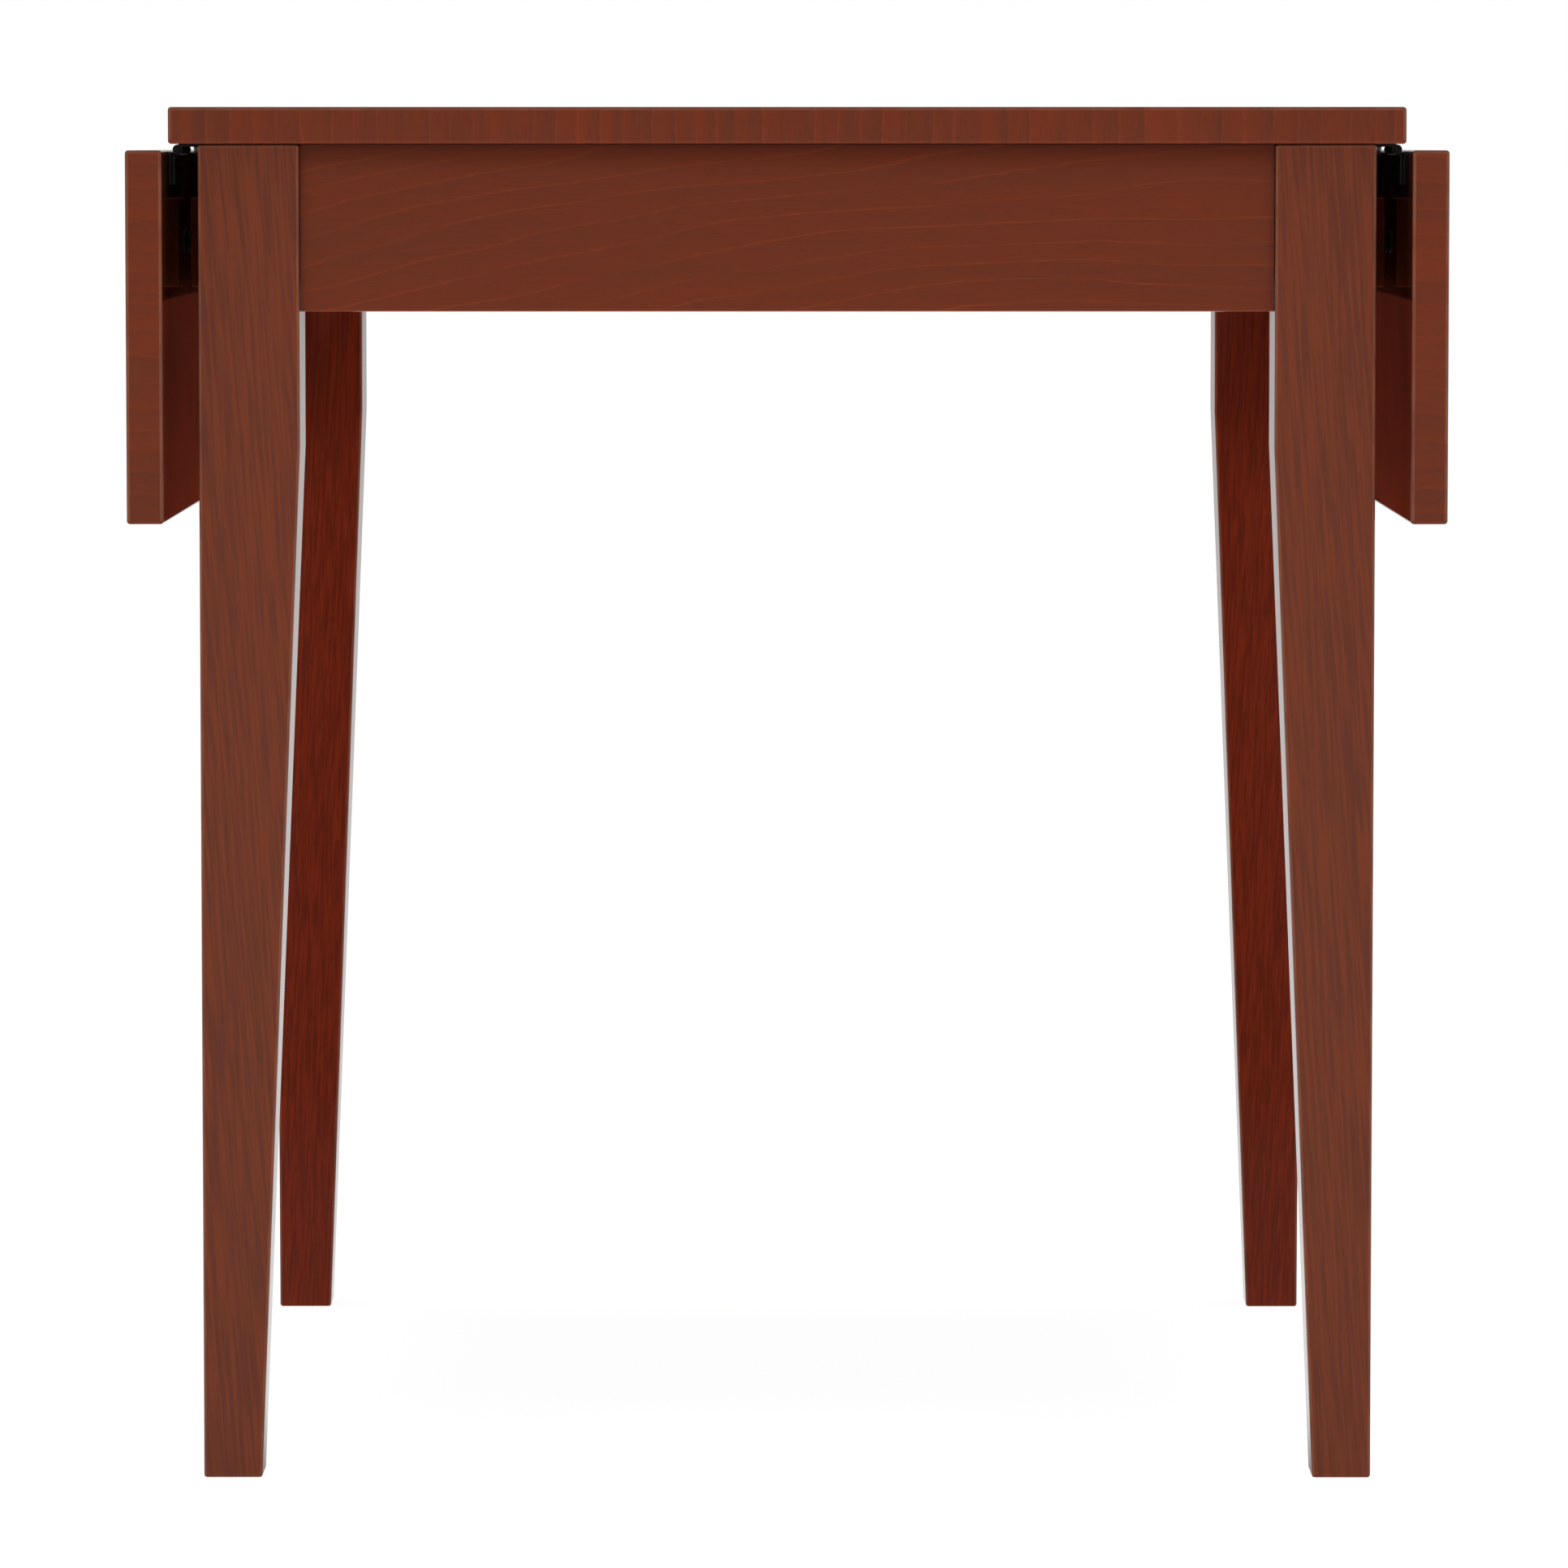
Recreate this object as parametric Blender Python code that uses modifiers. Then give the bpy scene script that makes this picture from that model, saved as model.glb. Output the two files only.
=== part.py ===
"""A drop-leaf dining table: a fixed top on four tapered legs, with a hinged leaf on each side.

The leaves hang, as the table stands when it is put away. X runs across the table, with the leaves
at its left and right, the front faces -Y, and the origin is on the floor under the middle of the top.
"""

import math

import bmesh
import bpy
from mathutils import Matrix, Vector

# Top and leaves
TABLE_HEIGHT = 0.750
TOP_WIDTH = 0.670
TOP_DEPTH = 0.750
BOARD_THICKNESS = 0.020
BOARD_EDGE_RADIUS = 0.0018
LEAF_WIDTH = 0.2025
LEAF_GAP = 0.0006

# Legs and aprons
SIDE_OVERHANG = 0.015
END_OVERHANG = 0.015
LEG_SIZE = 0.055
FOOT_SIZE = 0.032
LEG_STRAIGHT_LENGTH = 0.165
LEG_EDGE_RADIUS = 0.0015
APRON_HEIGHT = 0.091
APRON_THICKNESS = 0.020
APRON_SETBACK = 0.005
APRON_EDGE_RADIUS = 0.0015

# Corner blocks, leg bolts and the cleats that hold the top
LEG_SEAT_WIDTH = 0.014
CORNER_BLOCK_STANDOFF = 0.010
CORNER_BLOCK_THICKNESS = 0.022
CORNER_BLOCK_HEIGHT = 0.060
BOLT_RADIUS = 0.004
BOLT_BITE = 0.030
BOLT_TAIL = 0.006
NUT_WIDTH = 0.013
NUT_HEIGHT = 0.008
NUT_FLANGE_RADIUS = 0.0095
NUT_FLANGE_HEIGHT = 0.002
CLEAT_LENGTH = 0.300
CLEAT_WIDTH = 0.020
CLEAT_HEIGHT = 0.022

# Leaf hinges
HINGE_INSET = 0.0785
HINGE_LENGTH = 0.064
HINGE_DROP = 0.0031
HINGE_REACH = 0.0192
HINGE_PLATE_THICKNESS = 0.0013
HINGE_PIN_CLEARANCE = 0.0002
HINGE_PIN_HEAD = 0.0010
KNUCKLE_COUNT = 5

# Swing-out leaf supports
SUPPORT_SPACING = 0.364
SUPPORT_DROP = 0.030
SUPPORT_BLOCK_LENGTH = 0.043
SUPPORT_BLOCK_HEIGHT = 0.050
SUPPORT_SPINDLE_RADIUS = 0.005
SUPPORT_SPINDLE_LENGTH = 0.044
ARM_TIP_RADIUS = 0.007
ARM_TIP_GAP = 0.020
ARM_RUNNING_GAP = 0.00045
ARM_SIDE_GAP = 0.0006
BUMPER_RADIUS = 0.006
BUMPER_THICKNESS = 0.0025
BLOCK_EDGE_RADIUS = 0.0010

# Gap between pieces that touch, and the fineness of round forms
CLEARANCE = 0.0003
ROUND_STEPS = 24
EDGE_SEGMENTS = 2
BOARD_EDGE_SEGMENTS = 3
SMOOTH_ANGLE = math.radians(35)

# Levels and planes that the pieces share
UNDERSIDE = TABLE_HEIGHT - BOARD_THICKNESS
FRAME_TOP = UNDERSIDE - CLEARANCE
LEG_OUTER_X = TOP_WIDTH / 2 - SIDE_OVERHANG
LEG_OUTER_Y = TOP_DEPTH / 2 - END_OVERHANG
LEG_INNER_X = LEG_OUTER_X - LEG_SIZE
LEG_INNER_Y = LEG_OUTER_Y - LEG_SIZE
APRON_FACE_X = LEG_OUTER_X - APRON_SETBACK
APRON_FACE_Y = LEG_OUTER_Y - APRON_SETBACK
APRON_BACK_X = APRON_FACE_X - APRON_THICKNESS
APRON_BACK_Y = APRON_FACE_Y - APRON_THICKNESS

HINGE_X = TOP_WIDTH / 2 + LEAF_GAP / 2
HINGE_Z = UNDERSIDE - HINGE_DROP
HINGE_Y = TOP_DEPTH / 2 - HINGE_INSET - HINGE_LENGTH / 2
KNUCKLE_RADIUS = HINGE_DROP - CLEARANCE
PIN_HOLE_RADIUS = KNUCKLE_RADIUS - HINGE_PLATE_THICKNESS
PIN_RADIUS = PIN_HOLE_RADIUS - HINGE_PIN_CLEARANCE
LEAF_INNER_X = HINGE_X + HINGE_DROP
LEAF_TOP_Z = HINGE_Z - LEAF_GAP / 2

BLOCK_INNER_X = APRON_FACE_X + CLEARANCE
BLOCK_OUTER_X = LEAF_INNER_X - BUMPER_THICKNESS - 2 * CLEARANCE
BLOCK_TOP_Z = UNDERSIDE - SUPPORT_DROP
PIVOT_X = (BLOCK_INNER_X + BLOCK_OUTER_X) / 2
PIVOT_Y = SUPPORT_SPACING / 2
ARM_HUB_RADIUS = (BLOCK_OUTER_X - BLOCK_INNER_X) / 2 - ARM_SIDE_GAP
ARM_REACH = PIVOT_Y - ARM_TIP_RADIUS - ARM_TIP_GAP / 2
ARM_TOP_Z = UNDERSIDE - ARM_RUNNING_GAP
ARM_BOTTOM_Z = LEAF_TOP_Z + ARM_RUNNING_GAP

BOLT_Z = FRAME_TOP - CORNER_BLOCK_HEIGHT / 2
SEAT_CUT = LEG_SEAT_WIDTH / math.sqrt(2)

SIDES = {"left": -1, "right": 1}
ENDS = {"front": -1, "rear": 1}


# Scene, collections and materials

for leftover in list(bpy.data.objects):
    bpy.data.objects.remove(leftover, do_unlink=True)


def new_collection(name):
    collection = bpy.data.collections.new(name)
    bpy.context.scene.collection.children.link(collection)
    return collection


PARTS = new_collection("drop_leaf_table")
CUTTERS = new_collection("cutters")


def new_material(name, colour, roughness, metallic=0.0):
    material = bpy.data.materials.new(name)
    material.use_nodes = True
    shader = material.node_tree.nodes["Principled BSDF"]
    shader.inputs["Base Color"].default_value = (*colour, 1.0)
    shader.inputs["Roughness"].default_value = roughness
    shader.inputs["Metallic"].default_value = metallic
    return material


STAINED_WOOD = new_material("stained_wood", (0.130, 0.030, 0.016), 0.35)
FRAME_WOOD = new_material("frame_wood", (0.300, 0.170, 0.085), 0.60)
BLACK_STEEL = new_material("black_steel", (0.010, 0.009, 0.008), 0.40, 1.0)
ZINC_STEEL = new_material("zinc_steel", (0.560, 0.570, 0.580), 0.35, 1.0)
BLACK_RUBBER = new_material("black_rubber", (0.015, 0.015, 0.015), 0.75)


def mesh_of(shape, name):
    """Writes a bmesh to a mesh, with its faces outward and its round parts shaded smooth."""
    bmesh.ops.recalc_face_normals(shape, faces=shape.faces)
    mesh = bpy.data.meshes.new(name)
    shape.to_mesh(mesh)
    shape.free()
    mesh.shade_smooth()
    mesh.set_sharp_from_angle(angle=SMOOTH_ANGLE)
    return mesh


def add_part(name, mesh, material, location=(0, 0, 0), parent=None):
    part = bpy.data.objects.new(name, mesh)
    part.location = location
    mesh.materials.clear()
    mesh.materials.append(material)
    PARTS.objects.link(part)
    if parent:
        part.parent = parent
        part.location = Vector(location) - parent.location
    return part


def add_cutter(name, mesh, location=(0, 0, 0)):
    cutter = bpy.data.objects.new(name, mesh)
    cutter.location = location
    cutter.hide_render = True
    cutter.display_type = "WIRE"
    CUTTERS.objects.link(cutter)
    return cutter


def add_axis(name, location):
    """An empty on a joint's axis, which carries the pieces that turn about it."""
    axis = bpy.data.objects.new(name, None)
    axis.location = location
    axis.empty_display_size = BOARD_THICKNESS
    PARTS.objects.link(axis)
    return axis


def combine(part, other, operation):
    boolean = part.modifiers.new(operation.title(), "BOOLEAN")
    boolean.operation = operation
    boolean.object = other


def evaluated_mesh(source, name):
    """The mesh of an object as its modifiers or its curve make it, with loose caps welded on."""
    bpy.context.view_layer.update()
    graph = bpy.context.evaluated_depsgraph_get()
    baked = bpy.data.meshes.new_from_object(source.evaluated_get(graph))
    shape = bmesh.new()
    shape.from_mesh(baked)
    bmesh.ops.remove_doubles(shape, verts=shape.verts, dist=1e-6)
    bpy.data.meshes.remove(baked)
    return mesh_of(shape, name)


# Basic shapes


def box_shape(low, high):
    """A box between two opposite corners."""
    low, high = Vector(low), Vector(high)
    shape = bmesh.new()
    bmesh.ops.create_cube(shape, size=1.0)
    size = [abs(far - near) for near, far in zip(low, high)]
    bmesh.ops.scale(shape, vec=size, verts=shape.verts)
    bmesh.ops.translate(shape, vec=(low + high) / 2, verts=shape.verts)
    return shape


def round_edges(shape, radius, segments, chosen=lambda edge: True):
    edges = [edge for edge in shape.edges if chosen(edge)]
    bmesh.ops.bevel(
        shape,
        geom=edges,
        offset=radius,
        segments=segments,
        profile=0.5,
        affect="EDGES",
        clamp_overlap=True,
    )


def rod_shape(radius, bottom, top):
    """A plain round rod along Z."""
    shape = bmesh.new()
    bmesh.ops.create_cone(
        shape,
        cap_ends=True,
        segments=ROUND_STEPS,
        radius1=radius,
        radius2=radius,
        depth=top - bottom,
    )
    bmesh.ops.translate(shape, vec=(0, 0, (bottom + top) / 2), verts=shape.verts)
    return shape


def turned_mesh(name, profile):
    """A solid of revolution about Z from (radius, height) points that run from top to bottom."""
    shape = bmesh.new()
    points = [shape.verts.new((radius, 0, height)) for radius, height in profile]
    for upper, lower in zip(points, points[1:]):
        shape.edges.new((upper, lower))
    outline = bpy.data.meshes.new(name)
    shape.to_mesh(outline)
    shape.free()
    source = bpy.data.objects.new(name, outline)
    CUTTERS.objects.link(source)
    screw = source.modifiers.new("Turned", "SCREW")
    screw.steps = ROUND_STEPS
    screw.render_steps = ROUND_STEPS
    screw.use_merge_vertices = True
    screw.merge_threshold = 1e-5
    mesh = evaluated_mesh(source, name)
    bpy.data.objects.remove(source, do_unlink=True)
    return mesh


def outline_mesh(name, outlines, thickness):
    """A flat outline, with any inner outline left open, as a plate of the given thickness about Z = 0."""
    curve = bpy.data.curves.new(name, "CURVE")
    curve.dimensions = "2D"
    curve.fill_mode = "BOTH"
    curve.extrude = thickness / 2
    for points in outlines:
        spline = curve.splines.new("POLY")
        spline.points.add(len(points) - 1)
        for spline_point, (across, up) in zip(spline.points, points):
            spline_point.co = (across, up, 0, 1)
        spline.use_cyclic_u = True
    source = bpy.data.objects.new(name, curve)
    CUTTERS.objects.link(source)
    mesh = evaluated_mesh(source, name)
    bpy.data.objects.remove(source, do_unlink=True)
    return mesh


def arc(radius, start, end, steps, centre=(0.0, 0.0)):
    """Points along an arc from one angle to another, both ends included."""
    angles = [start + (end - start) * step / steps for step in range(steps + 1)]
    return [
        (centre[0] + radius * math.cos(angle), centre[1] + radius * math.sin(angle))
        for angle in angles
    ]


# Fixed top and hanging leaves

top_shape = box_shape(
    (-TOP_WIDTH / 2, -TOP_DEPTH / 2, UNDERSIDE), (TOP_WIDTH / 2, TOP_DEPTH / 2, TABLE_HEIGHT)
)
round_edges(top_shape, BOARD_EDGE_RADIUS, BOARD_EDGE_SEGMENTS)
add_part("table_top", mesh_of(top_shape, "table_top"), STAINED_WOOD)

leaf_axes = {}
for side, sign in SIDES.items():
    hinge_line = Vector((sign * HINGE_X, 0, HINGE_Z))
    leaf_axes[side] = add_axis(f"leaf_{side}_axis", hinge_line)
    leaf_shape = box_shape(
        (sign * HINGE_DROP, -TOP_DEPTH / 2, -LEAF_GAP / 2 - LEAF_WIDTH),
        (sign * (HINGE_DROP + BOARD_THICKNESS), TOP_DEPTH / 2, -LEAF_GAP / 2),
    )
    round_edges(leaf_shape, BOARD_EDGE_RADIUS, BOARD_EDGE_SEGMENTS)
    leaf_mesh = mesh_of(leaf_shape, f"leaf_{side}")
    add_part(f"leaf_{side}", leaf_mesh, STAINED_WOOD, hinge_line, leaf_axes[side])


# Legs: square to below the apron, then tapered on both inner faces


def leg_shape(across, along):
    """A leg with its outer corner over the origin, where the signs point out of the table."""
    taper_start = UNDERSIDE - LEG_STRAIGHT_LENGTH
    shape = box_shape((0, 0, 0), (-across * LEG_SIZE, -along * LEG_SIZE, FRAME_TOP))
    bmesh.ops.bisect_plane(
        shape,
        geom=[*shape.verts, *shape.edges, *shape.faces],
        plane_co=(0, 0, taper_start),
        plane_no=(0, 0, 1),
    )
    for corner in [vertex for vertex in shape.verts if vertex.co.z < taper_start / 2]:
        corner.co.x *= FOOT_SIZE / LEG_SIZE
        corner.co.y *= FOOT_SIZE / LEG_SIZE
    bends = [edge for edge in shape.edges if edge.calc_face_angle() < SMOOTH_ANGLE]
    round_edges(shape, LEG_EDGE_RADIUS, EDGE_SEGMENTS, lambda edge: edge not in bends)
    return shape


def bolt_frame(across, along):
    """A frame on the leg's bolt seat, with its Z axis pointing out through the leg's corner."""
    seat = Vector(
        (across * (LEG_INNER_X + SEAT_CUT / 2), along * (LEG_INNER_Y + SEAT_CUT / 2), BOLT_Z)
    )
    outward = Vector((across, along, 0)).normalized()
    turn = outward.to_track_quat("Z", "Y").to_matrix().to_4x4()
    return Matrix.Translation(seat) @ turn


for end, along in ENDS.items():
    for side, across in SIDES.items():
        corner_name = f"{end}_{side}"
        leg_mesh = mesh_of(leg_shape(across, along), f"leg_{corner_name}")
        leg_place = (across * LEG_OUTER_X, along * LEG_OUTER_Y, 0)
        leg = add_part(f"leg_{corner_name}", leg_mesh, STAINED_WOOD, leg_place)

        seat_shape = box_shape(
            (-LEG_SIZE, -APRON_HEIGHT / 2, -LEG_SIZE), (LEG_SIZE, APRON_HEIGHT / 2, 0)
        )
        seat_cutter = add_cutter(f"leg_seat_{corner_name}", mesh_of(seat_shape, "leg_seat"))
        seat_cutter.matrix_world = bolt_frame(across, along)
        seat_cutter.location.z = UNDERSIDE - APRON_HEIGHT / 2 + CLEARANCE
        combine(leg, seat_cutter, "DIFFERENCE")

        hole_shape = rod_shape(BOLT_RADIUS + CLEARANCE, -LEG_SEAT_WIDTH, BOLT_BITE + CLEARANCE)
        hole_cutter = add_cutter(f"leg_hole_{corner_name}", mesh_of(hole_shape, "leg_hole"))
        hole_cutter.matrix_world = bolt_frame(across, along)
        combine(leg, hole_cutter, "DIFFERENCE")


# Aprons between the legs, with the lower edges eased


def apron_mesh(name, low, high):
    shape = box_shape(low, high)
    lowest = min(vertex.co.z for vertex in shape.verts)
    length_axis = max(range(3), key=lambda axis: abs(high[axis] - low[axis]))

    def runs_along_the_bottom(edge):
        start, stop = (vertex.co for vertex in edge.verts)
        return start.z == stop.z == lowest and start[length_axis] != stop[length_axis]

    round_edges(shape, APRON_EDGE_RADIUS, EDGE_SEGMENTS, runs_along_the_bottom)
    return mesh_of(shape, name)


APRON_BOTTOM = UNDERSIDE - APRON_HEIGHT
for end, along in ENDS.items():
    apron = apron_mesh(
        f"apron_{end}",
        (-LEG_INNER_X + CLEARANCE, along * APRON_BACK_Y, APRON_BOTTOM),
        (LEG_INNER_X - CLEARANCE, along * APRON_FACE_Y, FRAME_TOP),
    )
    add_part(f"apron_{end}", apron, STAINED_WOOD)
for side, across in SIDES.items():
    apron = apron_mesh(
        f"apron_{side}",
        (across * APRON_BACK_X, -LEG_INNER_Y + CLEARANCE, APRON_BOTTOM),
        (across * APRON_FACE_X, LEG_INNER_Y - CLEARANCE, FRAME_TOP),
    )
    add_part(f"apron_{side}", apron, STAINED_WOOD)


# Corner blocks across the apron corners, drawn to the legs by bolts with flange nuts

BLOCK_FAR_SIDE = CORNER_BLOCK_STANDOFF + CORNER_BLOCK_THICKNESS


def corner_block_outline(across, along):
    """Four corners of the block in plan: its ends lie on the aprons and its faces run at 45 degrees."""
    seat_sum = LEG_INNER_X + LEG_INNER_Y + SEAT_CUT
    near_sum = seat_sum - CORNER_BLOCK_STANDOFF * math.sqrt(2)
    far_sum = seat_sum - BLOCK_FAR_SIDE * math.sqrt(2)
    end_x = APRON_BACK_X - CLEARANCE
    end_y = APRON_BACK_Y - CLEARANCE
    plan = [
        (end_x, near_sum - end_x),
        (near_sum - end_y, end_y),
        (far_sum - end_y, end_y),
        (end_x, far_sum - end_x),
    ]
    return [(across * x, along * y) for x, y in plan]


def nut_mesh():
    """A hexagon nut on its flange, bored for the bolt, with its seat at Z = 0."""
    hexagon = bmesh.new()
    bmesh.ops.create_cone(
        hexagon,
        cap_ends=True,
        segments=6,
        radius1=NUT_WIDTH / math.sqrt(3),
        radius2=NUT_WIDTH / math.sqrt(3),
        depth=NUT_HEIGHT - NUT_FLANGE_HEIGHT / 2,
    )
    middle = (NUT_HEIGHT + NUT_FLANGE_HEIGHT / 2) / 2
    bmesh.ops.translate(hexagon, vec=(0, 0, -middle), verts=hexagon.verts)
    nut = add_cutter("nut_hexagon", mesh_of(hexagon, "nut_hexagon"))
    flange_shape = rod_shape(NUT_FLANGE_RADIUS, -NUT_FLANGE_HEIGHT, 0)
    flange = add_cutter("nut_flange", mesh_of(flange_shape, "nut_flange"))
    bore_shape = rod_shape(BOLT_RADIUS + CLEARANCE, -2 * NUT_HEIGHT, NUT_HEIGHT)
    bore = add_cutter("nut_bore", mesh_of(bore_shape, "nut_bore"))
    combine(nut, flange, "UNION")
    combine(nut, bore, "DIFFERENCE")
    mesh = evaluated_mesh(nut, "leg_nut")
    for helper in (nut, flange, bore):
        bpy.data.objects.remove(helper, do_unlink=True)
    return mesh


BOLT_CHAMFER = BOLT_RADIUS / 5
BOLT_END = -BLOCK_FAR_SIDE - CLEARANCE - NUT_HEIGHT - BOLT_TAIL
bolt_profile = [
    (0, BOLT_BITE),
    (BOLT_RADIUS - BOLT_CHAMFER, BOLT_BITE),
    (BOLT_RADIUS, BOLT_BITE - BOLT_CHAMFER),
    (BOLT_RADIUS, BOLT_END + BOLT_CHAMFER),
    (BOLT_RADIUS - BOLT_CHAMFER, BOLT_END),
    (0, BOLT_END),
]
bolt_mesh = turned_mesh("leg_bolt", bolt_profile)
shared_nut_mesh = nut_mesh()

for end, along in ENDS.items():
    for side, across in SIDES.items():
        corner_name = f"{end}_{side}"
        plan = corner_block_outline(across, along)
        block_mesh = outline_mesh(f"corner_block_{corner_name}", [plan], CORNER_BLOCK_HEIGHT)
        block_place = (0, 0, BOLT_Z)
        block = add_part(f"corner_block_{corner_name}", block_mesh, FRAME_WOOD, block_place)
        hole_shape = rod_shape(BOLT_RADIUS + CLEARANCE, 2 * BOLT_END, 0)
        hole_cutter = add_cutter(f"block_hole_{corner_name}", mesh_of(hole_shape, "block_hole"))
        hole_cutter.matrix_world = bolt_frame(across, along)
        combine(block, hole_cutter, "DIFFERENCE")

        bolt = add_part(f"leg_bolt_{corner_name}", bolt_mesh, ZINC_STEEL)
        bolt.matrix_world = bolt_frame(across, along)
        nut = add_part(f"leg_nut_{corner_name}", shared_nut_mesh, ZINC_STEEL)
        nut_seat = Matrix.Translation((0, 0, -BLOCK_FAR_SIDE - CLEARANCE))
        nut.matrix_world = bolt_frame(across, along) @ nut_seat


# Cleats inside the front and rear aprons, screwed up into the top

for end, along in ENDS.items():
    outer_y = APRON_BACK_Y - CLEARANCE
    cleat_shape = box_shape(
        (-CLEAT_LENGTH / 2, along * (outer_y - CLEAT_WIDTH), FRAME_TOP - CLEAT_HEIGHT),
        (CLEAT_LENGTH / 2, along * outer_y, FRAME_TOP),
    )
    round_edges(cleat_shape, BLOCK_EDGE_RADIUS, 1)
    add_part(f"top_cleat_{end}", mesh_of(cleat_shape, f"top_cleat_{end}"), FRAME_WOOD)


# Leaf hinges: two rolled plates with knuckles that take turns along one pin

KNUCKLE_LENGTH = HINGE_LENGTH / KNUCKLE_COUNT


def hinge_outline(plate, wood):
    """Section of a hinge half: a plate against the wood, rolled round the pin.

    The plate runs along one unit vector from the pin, and the other points from the pin to the wood.
    """
    mouth = math.asin(PIN_HOLE_RADIUS / KNUCKLE_RADIUS)
    roll = arc(KNUCKLE_RADIUS, math.pi / 2, 2 * math.pi + mouth, ROUND_STEPS)
    section = [
        (HINGE_REACH, KNUCKLE_RADIUS),
        *roll,
        (HINGE_REACH, PIN_HOLE_RADIUS),
    ]
    half_step = math.pi / ROUND_STEPS
    hole = arc(PIN_HOLE_RADIUS, half_step, half_step + 2 * math.pi, ROUND_STEPS)[:-1]
    place = [[plate * out + wood * up for out, up in points] for points in (section, hole)]
    return [[tuple(point) for point in points] for points in place]


def knuckle_gaps(kept):
    """A cutter that clears the knuckles of the other half, along Y about the hinge's middle."""
    reach = KNUCKLE_RADIUS + CLEARANCE
    gaps = bmesh.new()
    for knuckle in range(KNUCKLE_COUNT):
        if knuckle % 2 == kept:
            continue
        middle = (knuckle + 0.5) * KNUCKLE_LENGTH - HINGE_LENGTH / 2
        at_an_end = knuckle in (0, KNUCKLE_COUNT - 1)
        extra = KNUCKLE_LENGTH if at_an_end else 0
        outward = math.copysign(extra / 2, middle)
        size = (2 * reach, KNUCKLE_LENGTH + CLEARANCE + extra, 2 * reach)
        place = Matrix.Translation((0, middle + outward, 0)) @ Matrix.Diagonal((*size, 1))
        bmesh.ops.create_cube(gaps, size=1.0, matrix=place)
    return mesh_of(gaps, "knuckle_gaps")


def hinge_half_mesh(name, plate, wood, kept):
    """One half of a hinge about its pin, with the knuckles whose number is even or odd, as kept says."""
    mesh = outline_mesh(name, hinge_outline(Vector(plate), Vector(wood)), HINGE_LENGTH)
    mesh.transform(Matrix.Rotation(math.pi / 2, 4, "X"))
    half = add_cutter(name, mesh)
    gaps = add_cutter(f"{name}_gaps", knuckle_gaps(kept))
    combine(half, gaps, "DIFFERENCE")
    finished = evaluated_mesh(half, name)
    for helper in (half, gaps):
        bpy.data.objects.remove(helper, do_unlink=True)
    return finished


pin_shape = rod_shape(PIN_RADIUS, -HINGE_LENGTH / 2 - HINGE_PIN_HEAD, HINGE_LENGTH / 2 + HINGE_PIN_HEAD)
bmesh.ops.rotate(pin_shape, verts=pin_shape.verts, matrix=Matrix.Rotation(math.pi / 2, 3, "X"))
pin_mesh = mesh_of(pin_shape, "hinge_pin")

for side, across in SIDES.items():
    top_half = hinge_half_mesh(f"hinge_top_plate_{side}", (-across, 0), (0, 1), 0)
    leaf_half = hinge_half_mesh(f"hinge_leaf_plate_{side}", (0, -1), (across, 0), 1)
    for end, along in ENDS.items():
        hinge_name = f"{end}_{side}"
        hinge_place = (across * HINGE_X, along * HINGE_Y, HINGE_Z)
        add_part(f"hinge_top_plate_{hinge_name}", top_half, BLACK_STEEL, hinge_place)
        add_part(f"hinge_pin_{hinge_name}", pin_mesh, BLACK_STEEL, hinge_place)
        leaf_plate = f"hinge_leaf_plate_{hinge_name}"
        add_part(leaf_plate, leaf_half, BLACK_STEEL, hinge_place, leaf_axes[side])


# Swing-out leaf supports: a flat arm on a post that turns in a block on the side apron


def arm_outline(towards):
    """A flat arm in plan, from its hub at the origin along Y to a smaller round tip."""
    lean = math.asin((ARM_HUB_RADIUS - ARM_TIP_RADIUS) / ARM_REACH)
    half_steps = ROUND_STEPS // 2
    hub = arc(ARM_HUB_RADIUS, math.pi - lean, 2 * math.pi + lean, half_steps)
    tip = arc(ARM_TIP_RADIUS, lean, math.pi - lean, half_steps, (0, ARM_REACH))
    return [(x, towards * y) for x, y in hub + tip]


def arm_mesh(name, towards):
    """The arm with its post and spindle, about the spindle's axis, with Z as in the table."""
    arm_thickness = ARM_TOP_Z - ARM_BOTTOM_Z
    plate = outline_mesh(name, [arm_outline(towards)], arm_thickness)
    plate.transform(Matrix.Translation((0, 0, (ARM_TOP_Z + ARM_BOTTOM_Z) / 2)))
    shoulder = BLOCK_TOP_Z + CLEARANCE
    spindle_end = BLOCK_TOP_Z - SUPPORT_SPINDLE_LENGTH
    post_radius = ARM_HUB_RADIUS - CLEARANCE
    post_profile = [
        (0, ARM_TOP_Z - arm_thickness / 2),
        (post_radius, ARM_TOP_Z - arm_thickness / 2),
        (post_radius, shoulder),
        (SUPPORT_SPINDLE_RADIUS, shoulder),
        (SUPPORT_SPINDLE_RADIUS, spindle_end),
        (0, spindle_end),
    ]
    arm = add_cutter(name, plate)
    post = add_cutter(f"{name}_post", turned_mesh(f"{name}_post", post_profile))
    combine(arm, post, "UNION")
    finished = evaluated_mesh(arm, name)
    for helper in (arm, post):
        bpy.data.objects.remove(helper, do_unlink=True)
    return finished


def bumper_mesh(across):
    """A round pad that keeps the hanging leaf upright, with its foot on the block's outer face."""
    edge = BUMPER_THICKNESS / 4
    profile = [
        (0, BUMPER_THICKNESS),
        (BUMPER_RADIUS - edge, BUMPER_THICKNESS),
        (BUMPER_RADIUS, BUMPER_THICKNESS - edge),
        (BUMPER_RADIUS, 0),
        (0, 0),
    ]
    mesh = turned_mesh("leaf_bumper", profile)
    mesh.transform(Matrix.Rotation(across * math.pi / 2, 4, "Y"))
    return mesh


bumper_meshes = {side: bumper_mesh(across) for side, across in SIDES.items()}

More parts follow.
